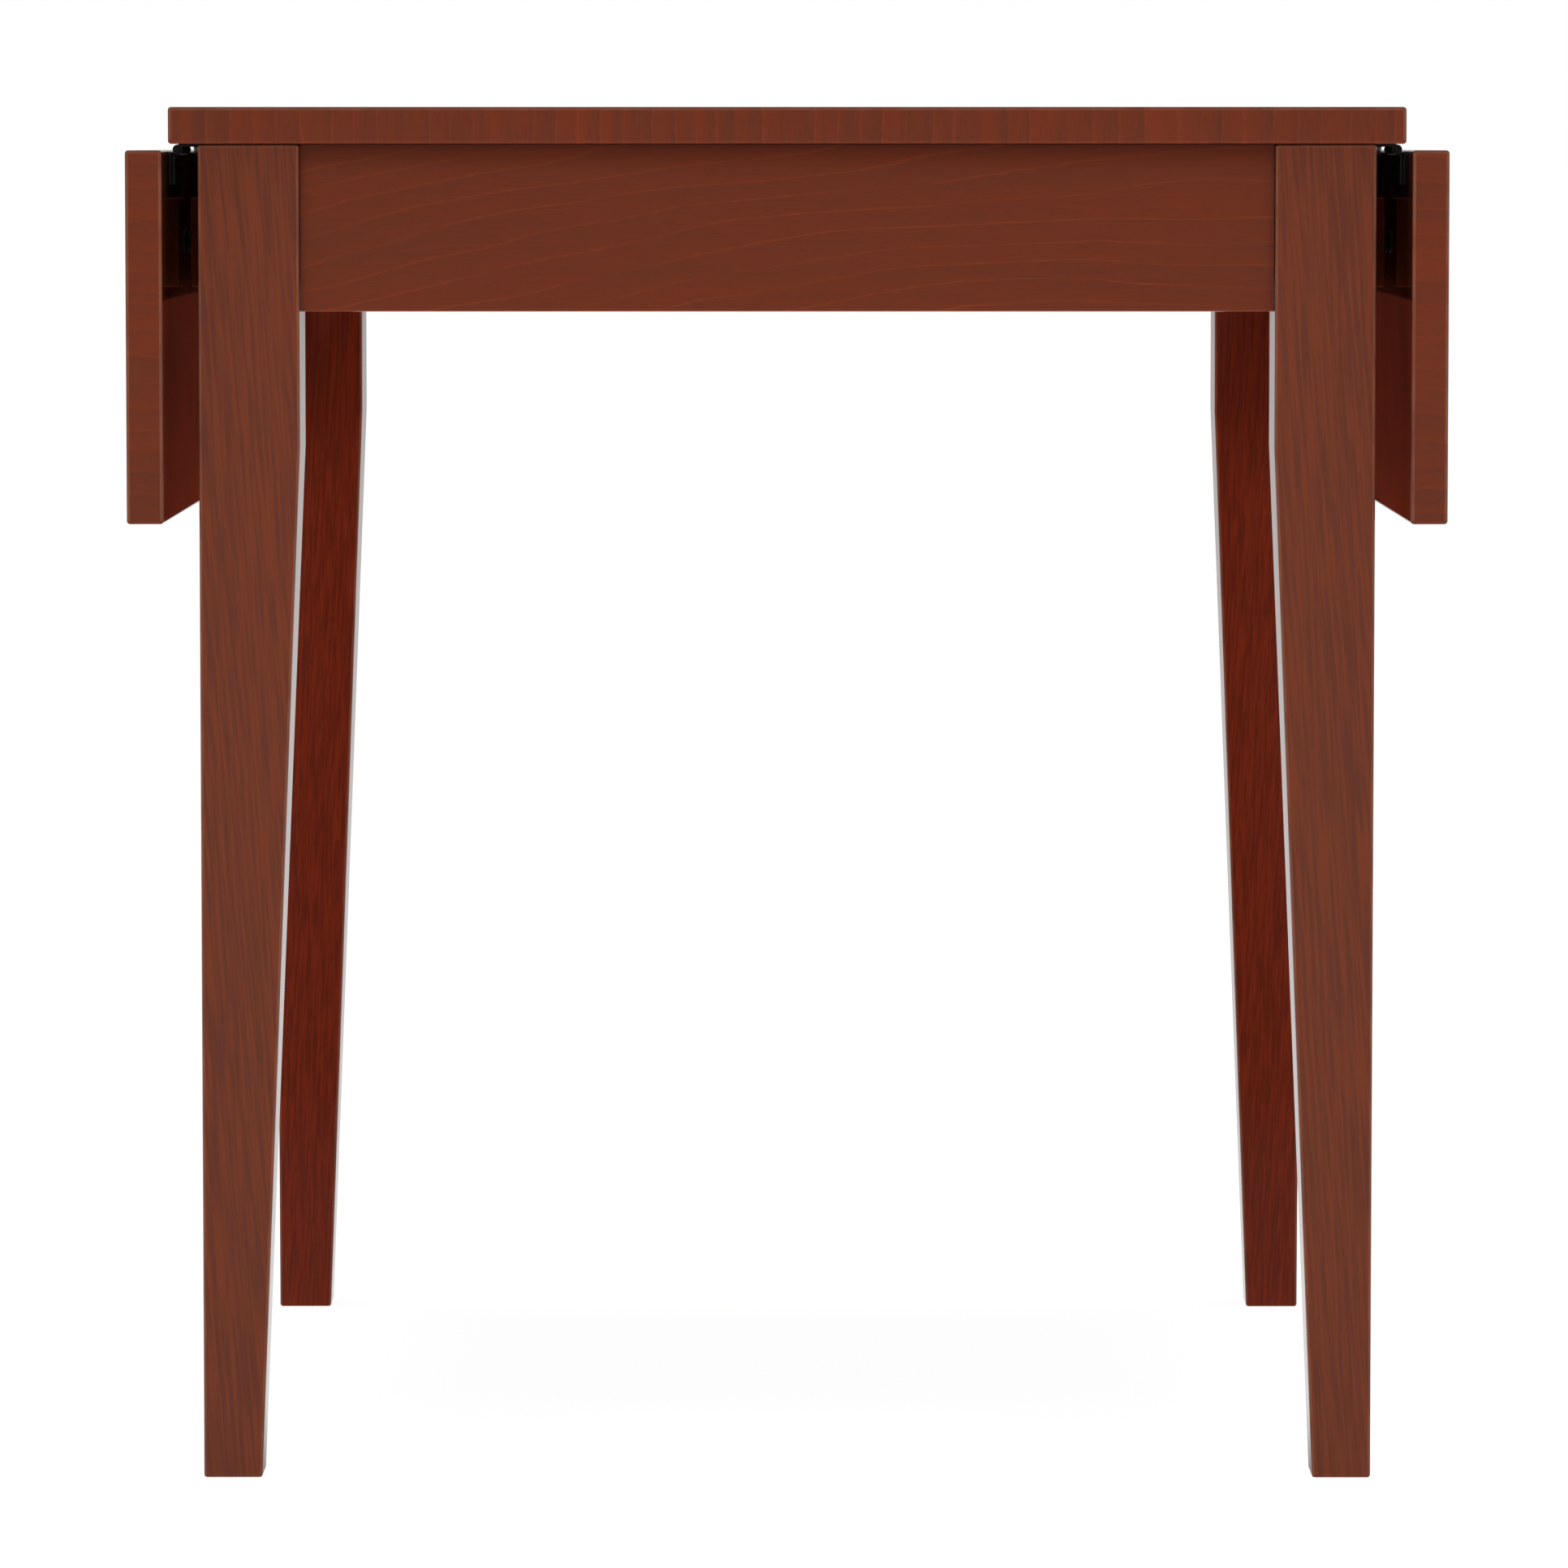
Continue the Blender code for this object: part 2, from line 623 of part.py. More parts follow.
for end, along in ENDS.items():
    shared_arm = arm_mesh(f"support_arm_{end}", -along)
    for side, across in SIDES.items():
        support_name = f"{end}_{side}"
        block_shape = box_shape(
            (across * BLOCK_INNER_X, along * PIVOT_Y - SUPPORT_BLOCK_LENGTH / 2, BLOCK_TOP_Z),
            (
                across * BLOCK_OUTER_X,
                along * PIVOT_Y + SUPPORT_BLOCK_LENGTH / 2,
                BLOCK_TOP_Z - SUPPORT_BLOCK_HEIGHT,
            ),
        )
        round_edges(block_shape, BLOCK_EDGE_RADIUS, 1)
        block_mesh = mesh_of(block_shape, f"support_block_{support_name}")
        block = add_part(f"support_block_{support_name}", block_mesh, STAINED_WOOD)
        pivot = (across * PIVOT_X, along * PIVOT_Y, 0)
        bore_shape = rod_shape(
            SUPPORT_SPINDLE_RADIUS + CLEARANCE,
            BLOCK_TOP_Z - 2 * SUPPORT_BLOCK_HEIGHT,
            BLOCK_TOP_Z + SUPPORT_BLOCK_HEIGHT,
        )
        bore = add_cutter(f"support_bore_{support_name}", mesh_of(bore_shape, "support_bore"), pivot)
        combine(block, bore, "DIFFERENCE")

        add_part(f"support_arm_{support_name}", shared_arm, BLACK_STEEL, pivot)

        pad_place = (
            across * (BLOCK_OUTER_X + CLEARANCE),
            along * PIVOT_Y,
            BLOCK_TOP_Z - SUPPORT_BLOCK_HEIGHT / 2,
        )
        add_part(f"leaf_bumper_{support_name}", bumper_meshes[side], BLACK_RUBBER, pad_place)
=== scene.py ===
import math

import bmesh
import bpy
from mathutils import Matrix, Vector


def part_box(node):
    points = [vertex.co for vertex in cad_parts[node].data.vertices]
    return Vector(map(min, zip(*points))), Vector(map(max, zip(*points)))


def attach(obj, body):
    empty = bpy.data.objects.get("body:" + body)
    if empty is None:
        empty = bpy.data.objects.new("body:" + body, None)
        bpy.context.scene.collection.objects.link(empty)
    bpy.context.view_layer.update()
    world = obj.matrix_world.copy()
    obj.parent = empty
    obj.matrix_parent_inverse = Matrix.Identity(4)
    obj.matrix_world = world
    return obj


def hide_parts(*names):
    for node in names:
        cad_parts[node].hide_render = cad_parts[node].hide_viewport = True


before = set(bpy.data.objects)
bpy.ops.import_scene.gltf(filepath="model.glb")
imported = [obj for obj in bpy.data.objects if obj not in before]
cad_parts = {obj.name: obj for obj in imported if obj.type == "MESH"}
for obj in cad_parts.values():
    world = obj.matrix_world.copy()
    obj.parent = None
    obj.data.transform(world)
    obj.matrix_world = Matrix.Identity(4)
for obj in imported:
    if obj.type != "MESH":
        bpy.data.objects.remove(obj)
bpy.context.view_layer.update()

# The viewpoint
# The table is seen almost square from the front, from about 4.6 metres before its front edge. The eye is
# level with the underside of the top and looks down a little, so that the rear legs stand just inside the
# front ones.

EYE_DISTANCE = 4.980
EYE_HEIGHT = 0.730
EYE_OFFSET = 0.0056
EYE_TILT = math.radians(4.31)
EYE_TURN = math.radians(0.0907)
EYE_LENS = 195.0
EYE_SENSOR = 36.0

eye = bpy.data.cameras.new("eye")
eye.lens = EYE_LENS
eye.sensor_width = EYE_SENSOR
eye_holder = bpy.data.objects.new("eye", eye)
eye_holder.location = (EYE_OFFSET, -EYE_DISTANCE, EYE_HEIGHT)
eye_holder.rotation_euler = (math.pi / 2 - EYE_TILT, 0, EYE_TURN)
bpy.context.scene.collection.objects.link(eye_holder)
bpy.context.scene.camera = eye_holder
bpy.context.scene.view_settings.view_transform = "Standard"

# The room
# A photographer's white room: a floor that runs out of sight and gives most of the light, a soft lamp low in
# front on each side, and one overhead. The floor is dimmer under the table, holds a faint shadow and is clear
# from below. Polished faces mirror a room that is dimmer in front of the table than behind, and no lamps.

WHITE = (1, 1, 1, 1)
ROOM_LIGHT = 0.28
ROOM_GLOSS_FRONT = 0.20
ROOM_GLOSS_BACK = 0.85
ROOM_GLOSS_TURN = 0.7
FLOOR_SIZE = 400.0
FLOOR_DROP = 0.0004
FLOOR_TONE = 0.86

# The floor's own glow and its share against the matt surface, as the eye sees it and as it lights the table
FLOOR_SEEN_GLOW = 1.47
FLOOR_SEEN_SHARE = 0.62
FLOOR_CAST_SHARE = 0.90
FLOOR_CAST_UNDER = 1.10
FLOOR_CAST_OPEN = 1.85
FLOOR_SHADE_START = 0.28
FLOOR_SHADE_END = 0.64

# The floor as polished faces mirror it, from front to back, with a slow fade into the distance
FLOOR_GLOSS_FRONT = 0.34
FLOOR_GLOSS_BACK = 1.13
FLOOR_GLOSS_START = -0.42
FLOOR_GLOSS_END = -0.05
FLOOR_GLOSS_NEAR = 0.4
FLOOR_GLOSS_FADE = 0.12


def add_node(tree, kind, inputs=None, **settings):
    """Places a node, sets its options, and gives each named input a value or a link."""
    made = tree.nodes.new(kind)
    for option, value in settings.items():
        setattr(made, option, value)
    for socket, value in (inputs or {}).items():
        if isinstance(value, bpy.types.NodeSocket):
            tree.links.new(value, made.inputs[socket])
        else:
            made.inputs[socket].default_value = value
    return made


def figure(tree, operation, *terms):
    """The result of a Math node."""
    return add_node(tree, "ShaderNodeMath", dict(enumerate(terms)), operation=operation).outputs[0]


def vector_figure(tree, operation, *terms):
    """The Vector Math node for an operation on these terms."""
    return add_node(tree, "ShaderNodeVectorMath", dict(enumerate(terms)), operation=operation)


def eased(tree, value, start, end, low=0.0, high=1.0):
    """A value that goes smoothly from one level to another between two limits."""
    inputs = {"Value": value, "From Min": start, "From Max": end, "To Min": low, "To Max": high}
    return add_node(tree, "ShaderNodeMapRange", inputs, interpolation_type="SMOOTHSTEP").outputs[0]


room = bpy.data.worlds.new("white_room")
room.use_nodes = True
bpy.context.scene.world = room
tree = room.node_tree
tree.nodes.clear()
ray = add_node(tree, "ShaderNodeLightPath").outputs
heading = add_node(tree, "ShaderNodeTexCoord").outputs["Generated"]
heading = add_node(tree, "ShaderNodeSeparateXYZ", {0: heading}).outputs["Y"]
mirrored = [level - ROOM_LIGHT for level in (ROOM_GLOSS_FRONT, ROOM_GLOSS_BACK)]
mirrored = eased(tree, heading, -ROOM_GLOSS_TURN, ROOM_GLOSS_TURN, *mirrored)
mirrored = figure(tree, "MULTIPLY", ray["Is Glossy Ray"], mirrored)
seen = figure(tree, "MAXIMUM", ray["Is Camera Ray"], ray["Is Transmission Ray"])
strength = figure(tree, "MULTIPLY_ADD", seen, 1.0 - ROOM_LIGHT, mirrored)
strength = figure(tree, "ADD", strength, ROOM_LIGHT)
light = add_node(tree, "ShaderNodeBackground", {"Color": WHITE, "Strength": strength})
add_node(tree, "ShaderNodeOutputWorld", {"Surface": light.outputs[0]})


def new_finish(name):
    """An empty material and its node tree."""
    made = bpy.data.materials.new(name)
    made.use_nodes = True
    made.node_tree.nodes.clear()
    return made, made.node_tree


floor_finish, tree = new_finish("white_floor")
ray = add_node(tree, "ShaderNodeLightPath").outputs
seen = figure(tree, "MAXIMUM", ray["Is Camera Ray"], ray["Is Transmission Ray"])
share = figure(tree, "MULTIPLY_ADD", seen, FLOOR_SEEN_SHARE - FLOOR_CAST_SHARE, FLOOR_CAST_SHARE)
share = figure(tree, "MULTIPLY_ADD", ray["Is Glossy Ray"], 1.0 - FLOOR_CAST_SHARE, share)
spot = add_node(tree, "ShaderNodeTexCoord").outputs["Object"]
from_middle = vector_figure(tree, "LENGTH", spot).outputs["Value"]
cast = eased(tree, from_middle, FLOOR_SHADE_START, FLOOR_SHADE_END, FLOOR_CAST_UNDER, FLOOR_CAST_OPEN)
backward = add_node(tree, "ShaderNodeSeparateXYZ", {0: spot}).outputs["Y"]
mirrored = eased(tree, backward, FLOOR_GLOSS_START, FLOOR_GLOSS_END, FLOOR_GLOSS_FRONT, FLOOR_GLOSS_BACK)
distance = figure(tree, "MAXIMUM", figure(tree, "DIVIDE", backward, FLOOR_GLOSS_NEAR), 1.0)
distance = figure(tree, "LOGARITHM", distance, math.e)
mirrored = figure(tree, "MULTIPLY_ADD", distance, -FLOOR_GLOSS_FADE, mirrored)
strength = figure(tree, "MULTIPLY_ADD", seen, figure(tree, "SUBTRACT", FLOOR_SEEN_GLOW, cast), cast)
change = figure(tree, "SUBTRACT", mirrored, cast)
strength = figure(tree, "MULTIPLY_ADD", ray["Is Glossy Ray"], change, strength)
matt = add_node(tree, "ShaderNodeBsdfDiffuse", {"Color": (FLOOR_TONE, FLOOR_TONE, FLOOR_TONE, 1)})
glow = add_node(tree, "ShaderNodeEmission", {"Color": WHITE, "Strength": strength})
lit = add_node(tree, "ShaderNodeMixShader", {0: share, 1: matt.outputs[0], 2: glow.outputs[0]})
below = add_node(tree, "ShaderNodeNewGeometry").outputs["Backfacing"]
clear = add_node(tree, "ShaderNodeBsdfTransparent")
lit = add_node(tree, "ShaderNodeMixShader", {0: below, 1: lit.outputs[0], 2: clear.outputs[0]})
add_node(tree, "ShaderNodeOutputMaterial", {"Surface": lit.outputs[0]})

floor_shape = bmesh.new()
bmesh.ops.create_grid(floor_shape, x_segments=1, y_segments=1, size=FLOOR_SIZE / 2)
floor_mesh = bpy.data.meshes.new("floor")
floor_shape.to_mesh(floor_mesh)
floor_shape.free()
floor_mesh.transform(Matrix.Translation((0, 0, -FLOOR_DROP)))
floor_mesh.materials.append(floor_finish)
floor = bpy.data.objects.new("floor", floor_mesh)
bpy.context.scene.collection.objects.link(floor)

LAMP_AIM = Vector((0, 0, 0.45))


def hang_lamp(name, place, width, height, power):
    """A large soft lamp that faces the table."""
    lamp = bpy.data.lights.new(name, "AREA")
    lamp.shape = "RECTANGLE"
    lamp.size = width
    lamp.size_y = height
    lamp.energy = power
    holder = bpy.data.objects.new(name, lamp)
    holder.location = place
    holder.rotation_euler = (LAMP_AIM - Vector(place)).to_track_quat("-Z", "Y").to_euler()
    holder.visible_camera = False
    holder.visible_glossy = False
    bpy.context.scene.collection.objects.link(holder)


hang_lamp("left_lamp", place=(-2.0, -3.6, 0.5), width=2.0, height=0.9, power=17.5)
hang_lamp("right_lamp", place=(2.0, -3.6, 0.5), width=2.0, height=0.9, power=20.5)
hang_lamp("overhead_lamp", place=(0, -0.4, 3.2), width=2.4, height=2.4, power=41.0)

# Legs
# Square hardwood posts, tapered on their two inner faces below the apron, with eased edges painted a little
# paler, as rubbed stain and as a painted highlight. The wood is planed, sanded, stained red-brown and sprayed
# with clear lacquer. Its grain runs down the leg, slightly aslant. The faces that front and rear legs turn to
# each other are a copy painted deeper red and less glossy, as painted shade.

STAIN_PALE = (0.142, 0.0230, 0.0064, 1)
STAIN_DEEP = (0.093, 0.0211, 0.0094, 1)
STAIN_RING_EDGE = (0.171, 0.0322, 0.0104, 1)
LACQUER_IOR = 1.33
LACQUER_GLOSS = 0.5
LACQUER_ROUGHNESS = 0.012
NUMBER = "NodeSocketFloat"
COLOUR = "NodeSocketColor"
POSITION = "NodeSocketVector"


def new_group(name, kind, inputs, outputs):
    """A node group with inputs, given as name: (kind, value), and outputs. Gives the group and its inputs."""
    group = bpy.data.node_groups.new(name, kind)
    for label, (socket_kind, value) in inputs.items():
        socket = group.interface.new_socket(label, in_out="INPUT", socket_type=socket_kind)
        if value is not None:
            socket.default_value = value
    for label, socket_kind in outputs.items():
        group.interface.new_socket(label, in_out="OUTPUT", socket_type=socket_kind)
    return group, group.nodes.new("NodeGroupInput").outputs


def scaled(tree, vector, amount):
    """A vector times a value."""
    inputs = {0: vector, "Scale": amount}
    return add_node(tree, "ShaderNodeVectorMath", inputs, operation="SCALE").outputs[0]


def drawn_out(tree, vector, waves, detail=2.0, roughness=0.5):
    """Noise with the given number of waves a metre along the grain, across it and through the board."""
    place = vector_figure(tree, "MULTIPLY", vector, waves).outputs[0]
    inputs = {"Vector": place, "Scale": 1.0, "Detail": detail, "Roughness": roughness}
    return add_node(tree, "ShaderNodeTexNoise", inputs).outputs


def chance(tree, number):
    """A random value and colour for each whole number."""
    inputs = {"W": figure(tree, "FLOOR", number)}
    return add_node(tree, "ShaderNodeTexWhiteNoise", inputs, noise_dimensions="1D").outputs


def swing(tree, value, amount):
    """How far a value is from one half, times an amount."""
    return figure(tree, "MULTIPLY", figure(tree, "SUBTRACT", value, 0.5), amount)


def total(tree, *terms):
    """The sum of several values."""
    result = terms[0]
    for term in terms[1:]:
        result = figure(tree, "ADD", result, term)
    return result


def paint(tree, colour):
    """One plain colour, to be mixed with others."""
    made = add_node(tree, "ShaderNodeRGB").outputs[0]
    made.default_value = colour
    return made


def mixed(tree, share, first, second):
    """A colour part of the way from one to another."""
    made = add_node(tree, "ShaderNodeMix", data_type="RGBA")
    for socket, value in (("Factor_Float", share), ("A_Color", first), ("B_Color", second)):
        entry = next(entry for entry in made.inputs if entry.identifier == socket)
        tree.links.new(value, entry)
    return next(entry for entry in made.outputs if entry.identifier == "Result_Color")


# Growth rings, bent and feathered, under streaks, clouds, fibre and pores that are drawn out along the grain
FIBRE_WAVES = (26.0, 620.0, 620.0)
FIBRE_HEIGHT = 0.3
FIBRE_DULLNESS = 0.008
STREAK_WAVES = (4.0, 110.0, 110.0)
CLOUD_WAVES = (2.4, 20.0, 20.0)
PORE_WAVES = (85.0, 1400.0, 1400.0)
PORE_START = 0.60
PORE_FULL = 0.70
PORE_DULLNESS = 0.05
DRIFT_WAVES = (3.2, 13.0, 13.0)
RING_EDGE_START = 0.88
RING_EDGE_PEAK = 0.965
PATCH_WAVES = (9.0, 60.0, 60.0)
PATCH_START = 0.25
PATCH_FULL = 0.60

grain_inputs = {
    "Vector": (POSITION, None),
    "Ring Spacing": (NUMBER, 0.012),
    "Bow": (NUMBER, 0.0),
    "Wander": (NUMBER, 0.030),
    "Feather": (NUMBER, 0.5),
    "Ring Edge": (NUMBER, 0.5),
    "Band": (NUMBER, 0.5),
    "Cloud": (NUMBER, 0.4),
    "Streak": (NUMBER, 0.5),
    "Fineness": (NUMBER, 1.0),
    "Fibre": (NUMBER, 0.5),
    "Pores": (NUMBER, 0.5),
    "Tone": (NUMBER, 0.5),
    "Sheen": (NUMBER, LACQUER_ROUGHNESS),
    "Pale": (COLOUR, STAIN_PALE),
    "Deep": (COLOUR, STAIN_DEEP),
    "Edge": (COLOUR, STAIN_RING_EDGE),
}
grain_outputs = {"Color": COLOUR, "Roughness": NUMBER, "Height": NUMBER}
wood_grain, given = new_group("wood_grain", "ShaderNodeTree", grain_inputs, grain_outputs)
tree = wood_grain
spot = given["Vector"]
fibre = drawn_out(tree, spot, FIBRE_WAVES, detail=3.0, roughness=0.62)["Fac"]
fine = scaled(tree, spot, given["Fineness"])
streak = drawn_out(tree, fine, STREAK_WAVES, detail=1.0, roughness=0.4)["Fac"]
cloud = drawn_out(tree, spot, CLOUD_WAVES)["Fac"]
flecks = drawn_out(tree, spot, PORE_WAVES, detail=1.0)["Fac"]
pores = figure(tree, "MULTIPLY", eased(tree, flecks, PORE_START, PORE_FULL), given["Pores"])
drift = drawn_out(tree, spot, DRIFT_WAVES)["Color"]
drift = vector_figure(tree, "SUBTRACT", drift, (0.5, 0.5, 0.5)).outputs[0]
drift = scaled(tree, drift, given["Wander"])
along = add_node(tree, "ShaderNodeSeparateXYZ", {0: spot}).outputs["X"]
sag = figure(tree, "MULTIPLY", figure(tree, "MULTIPLY", along, along), given["Bow"])
sag = add_node(tree, "ShaderNodeCombineXYZ", {"Y": sag}).outputs[0]
bent = vector_figure(tree, "ADD", spot, drift).outputs[0]
bent = vector_figure(tree, "ADD", bent, sag).outputs[0]
section = vector_figure(tree, "MULTIPLY", bent, (0, 1, 1)).outputs[0]
radius = vector_figure(tree, "LENGTH", section).outputs["Value"]
years = figure(tree, "DIVIDE", radius, given["Ring Spacing"])
years = figure(tree, "ADD", years, swing(tree, fibre, given["Feather"]))
season = figure(tree, "FRACT", years)
year = chance(tree, years)["Value"]
patches = eased(tree, drawn_out(tree, spot, PATCH_WAVES)["Fac"], PATCH_START, PATCH_FULL)
rise = eased(tree, season, RING_EDGE_START, RING_EDGE_PEAK)
fall = eased(tree, season, RING_EDGE_PEAK, 1.0, 1.0, 0.0)
ring_edge = figure(tree, "MULTIPLY", figure(tree, "MULTIPLY", rise, fall), patches)
band = figure(tree, "MULTIPLY_ADD", season, 0.5, figure(tree, "MULTIPLY", year, 0.5))
tone = total(
    tree,
    given["Tone"],
    swing(tree, band, given["Band"]),
    swing(tree, cloud, given["Cloud"]),
    swing(tree, streak, given["Streak"]),
    swing(tree, fibre, given["Fibre"]),
    figure(tree, "MULTIPLY", pores, -1.0),
)
stained = mixed(tree, tone, given["Deep"], given["Pale"])
edged = mixed(tree, figure(tree, "MULTIPLY", ring_edge, given["Ring Edge"]), stained, given["Edge"])
sheen = figure(tree, "MULTIPLY_ADD", pores, PORE_DULLNESS, given["Sheen"])
sheen = figure(tree, "MULTIPLY_ADD", fibre, FIBRE_DULLNESS, sheen)
height = figure(tree, "MULTIPLY_ADD", fibre, FIBRE_HEIGHT, figure(tree, "MULTIPLY", pores, -1.0))
add_node(tree, "NodeGroupOutput", {"Color": edged, "Roughness": sheen, "Height": height})

# Rounded edges are painted paler in patches, as stain rubbed off and as a painted highlight
EDGE = "edge"
EDGE_PATCH_WAVES = (45.0, 45.0, 45.0)
EDGE_PATCH_START = 0.25
EDGE_PATCH_FULL = 0.65
EDGE_PATCH_LEAST = 0.4
wear_and_highlight_inputs = {"Vector": (POSITION, None), "Edge": (NUMBER, 0.0), "Amount": (NUMBER, 0.5)}
edge_wear_and_highlight, given = new_group("edge_wear_and_highlight", "ShaderNodeTree", wear_and_highlight_inputs, {"Wear": NUMBER})
tree = edge_wear_and_highlight
wear_and_highlight_share = drawn_out(tree, given["Vector"], EDGE_PATCH_WAVES, detail=3.0)["Fac"]
wear_and_highlight_share = eased(tree, wear_and_highlight_share, EDGE_PATCH_START, EDGE_PATCH_FULL, EDGE_PATCH_LEAST)
wear_and_highlight_share = figure(tree, "MULTIPLY", wear_and_highlight_share, given["Amount"])
add_node(tree, "NodeGroupOutput", {"Wear": figure(tree, "MULTIPLY", wear_and_highlight_share, given["Edge"])})


def worn_and_highlit_edges(tree, spot, amount, colour, wear_and_highlight_colour):
    """A finish's colour with a paler colour on its rounded edges, as rubbed stain and as a painted highlight.
    """
    marked = add_node(tree, "ShaderNodeAttribute", attribute_name=EDGE).outputs["Fac"]
    wear_and_highlight_share = {"Vector": spot, "Edge": marked, "Amount": amount}
    wear_and_highlight_share = add_node(tree, "ShaderNodeGroup", wear_and_highlight_share, node_tree=edge_wear_and_highlight).outputs["Wear"]
    return mixed(tree, wear_and_highlight_share, colour, paint(tree, wear_and_highlight_colour))


# A paler colour on rounded edges, as rubbed stain and as a painted highlight
WORN_AND_HIGHLIT_WOOD = (0.34, 0.165, 0.105, 1)
WOOD_WEAR_AND_HIGHLIGHT = 0.22
PORE_DEPTH = 0.00001
PORE_RELIEF = 0.25
# Painted shade: a dark colour that darkens a finish downwards from a height, as under the top's overhang
PAINTED_SHADE_COLOUR = (0.022, 0.0035, 0.0008, 1)
PAINTED_SHADE_SHARE = 0.68
PAINTED_SHADE_REACH = 0.030
PAINTED_SHADE_FALL = 3.0


def wood_finish(
    name, turn, shift, stretch=(1, 1, 1), gloss=LACQUER_GLOSS, wear=WOOD_WEAR_AND_HIGHLIGHT, staves=None, painted_shade_below=None,
    **character,
):
    """Wood whose grain the turn brings to X, with growth rings about the shifted X axis and a character given
    by the grain group's inputs. Painted shade may darken it downwards from a height, as under an overhang."""
    made, tree = new_finish(name)
    spot = add_node(tree, "ShaderNodeTexCoord").outputs["Object"]
    laid = {"Vector": spot, "Rotation": turn, "Location": shift, "Scale": stretch}
    laid = add_node(tree, "ShaderNodeMapping", laid).outputs[0]
    grain = add_node(tree, "ShaderNodeGroup", node_tree=wood_grain)
    for label, value in character.items():
        grain.inputs[label.replace("_", " ").title()].default_value = value
    if staves:
        glued = add_node(tree, "ShaderNodeGroup", {"Vector": laid}, node_tree=staves)
        tree.links.new(glued.outputs["Tone"], grain.inputs["Tone"])
        laid = glued.outputs["Vector"]
    tree.links.new(laid, grain.inputs["Vector"])
    colour = grain.outputs["Color"]
    # Painted shade, darkest at the given height and fading out below it
    if painted_shade_below:
        height = add_node(tree, "ShaderNodeSeparateXYZ", {0: spot}).outputs["Z"]
        painted_shade = {"Value": height, "From Min": painted_shade_below - PAINTED_SHADE_REACH, "From Max": painted_shade_below}
        painted_shade = add_node(tree, "ShaderNodeMapRange", painted_shade, interpolation_type="LINEAR").outputs[0]
        painted_shade = figure(tree, "MULTIPLY", figure(tree, "POWER", painted_shade, PAINTED_SHADE_FALL), PAINTED_SHADE_SHARE)
        colour = mixed(tree, painted_shade, colour, paint(tree, PAINTED_SHADE_COLOUR))
    colour = worn_and_highlit_edges(tree, spot, wear, colour, WORN_AND_HIGHLIT_WOOD)
    relief = {"Strength": PORE_RELIEF, "Distance": PORE_DEPTH, "Height": grain.outputs["Height"]}
    surface = {
        "Base Color": colour,
        "Roughness": grain.outputs["Roughness"],
        "Normal": add_node(tree, "ShaderNodeBump", relief).outputs[0],
        "IOR": LACQUER_IOR,
        "Specular IOR Level": gloss,
    }
    shader = add_node(tree, "ShaderNodeBsdfPrincipled", surface)
    add_node(tree, "ShaderNodeOutputMaterial", {"Surface": shader.outputs[0]})
    return made


# Rounded edges are shaded as the smooth curves that a sander leaves, while flat faces stay flat. The rounded
# faces are marked for wear and a painted highlight, apart from those that face the floor, which stay unlit.
CREASE = math.radians(50)
WELD = 0.000005
FLAT_LIMIT = 0.985
DOWNWARD_LIMIT = -0.1
GEOMETRY = "NodeSocketGeometry"


def keep_creases(tree, geometry, angle):
    """Shades a shape smooth, apart from the edges that are sharper than an angle."""
    smooth = add_node(tree, "GeometryNodeSetShadeSmooth", {"Geometry": geometry}, domain="FACE")
    bend = add_node(tree, "GeometryNodeInputMeshEdgeAngle").outputs["Unsigned Angle"]
    sharp = add_node(tree, "FunctionNodeCompare", {0: bend, 1: angle}, operation="GREATER_THAN")
    creased = {"Geometry": smooth.outputs[0], "Selection": sharp.outputs[0], "Shade Smooth": False}
    return add_node(tree, "GeometryNodeSetShadeSmooth", creased, domain="EDGE").outputs[0]


shape_inputs = {"Geometry": (GEOMETRY, None)}
smooth_edges, given = new_group("smooth_edges", "GeometryNodeTree", shape_inputs, {"Geometry": GEOMETRY})
tree = smooth_edges
welded = {"Geometry": given["Geometry"], "Distance": WELD}
welded = add_node(tree, "GeometryNodeMergeByDistance", welded).outputs[0]
plain = {"Geometry": welded, "Name": "custom_normal"}
plain = add_node(tree, "GeometryNodeRemoveAttribute", plain).outputs[0]
normal = add_node(tree, "GeometryNodeInputNormal").outputs[0]
normal = add_node(tree, "ShaderNodeSeparateXYZ", {0: normal}).outputs
level = [figure(tree, "ABSOLUTE", normal[axis]) for axis in "XY"]
squarest = figure(tree, "MAXIMUM", figure(tree, "MAXIMUM", *level), normal["Z"])
rounded = figure(tree, "LESS_THAN", squarest, FLAT_LIMIT)
# Rounded faces that face the floor get no paler edge, as they catch no highlight
exposed = figure(tree, "GREATER_THAN", normal["Z"], DOWNWARD_LIMIT)
rounded = figure(tree, "MULTIPLY", rounded, exposed)
marked = {"Geometry": plain, "Name": EDGE, "Value": rounded}
marked = add_node(tree, "GeometryNodeStoreNamedAttribute", marked, data_type="FLOAT", domain="FACE")
add_node(tree, "NodeGroupOutput", {"Geometry": keep_creases(tree, marked.outputs[0], CREASE)})

# One face of a piece may take another finish
FINISH = "NodeSocketMaterial"
SAME_WAY = 0.9
face_inputs = {"Geometry": (GEOMETRY, None), "Facing": (POSITION, None), "Finish": (FINISH, None)}
one_face, given = new_group("one_face", "GeometryNodeTree", face_inputs, {"Geometry": GEOMETRY})
normal = add_node(one_face, "GeometryNodeInputNormal").outputs[0]
agreement = vector_figure(one_face, "DOT_PRODUCT", normal, given["Facing"]).outputs["Value"]
picked = figure(one_face, "GREATER_THAN", agreement, SAME_WAY)
coated = {"Geometry": given["Geometry"], "Selection": picked, "Material": given["Finish"]}
coated = add_node(one_face, "GeometryNodeSetMaterial", coated).outputs[0]
add_node(one_face, "NodeGroupOutput", {"Geometry": coated})


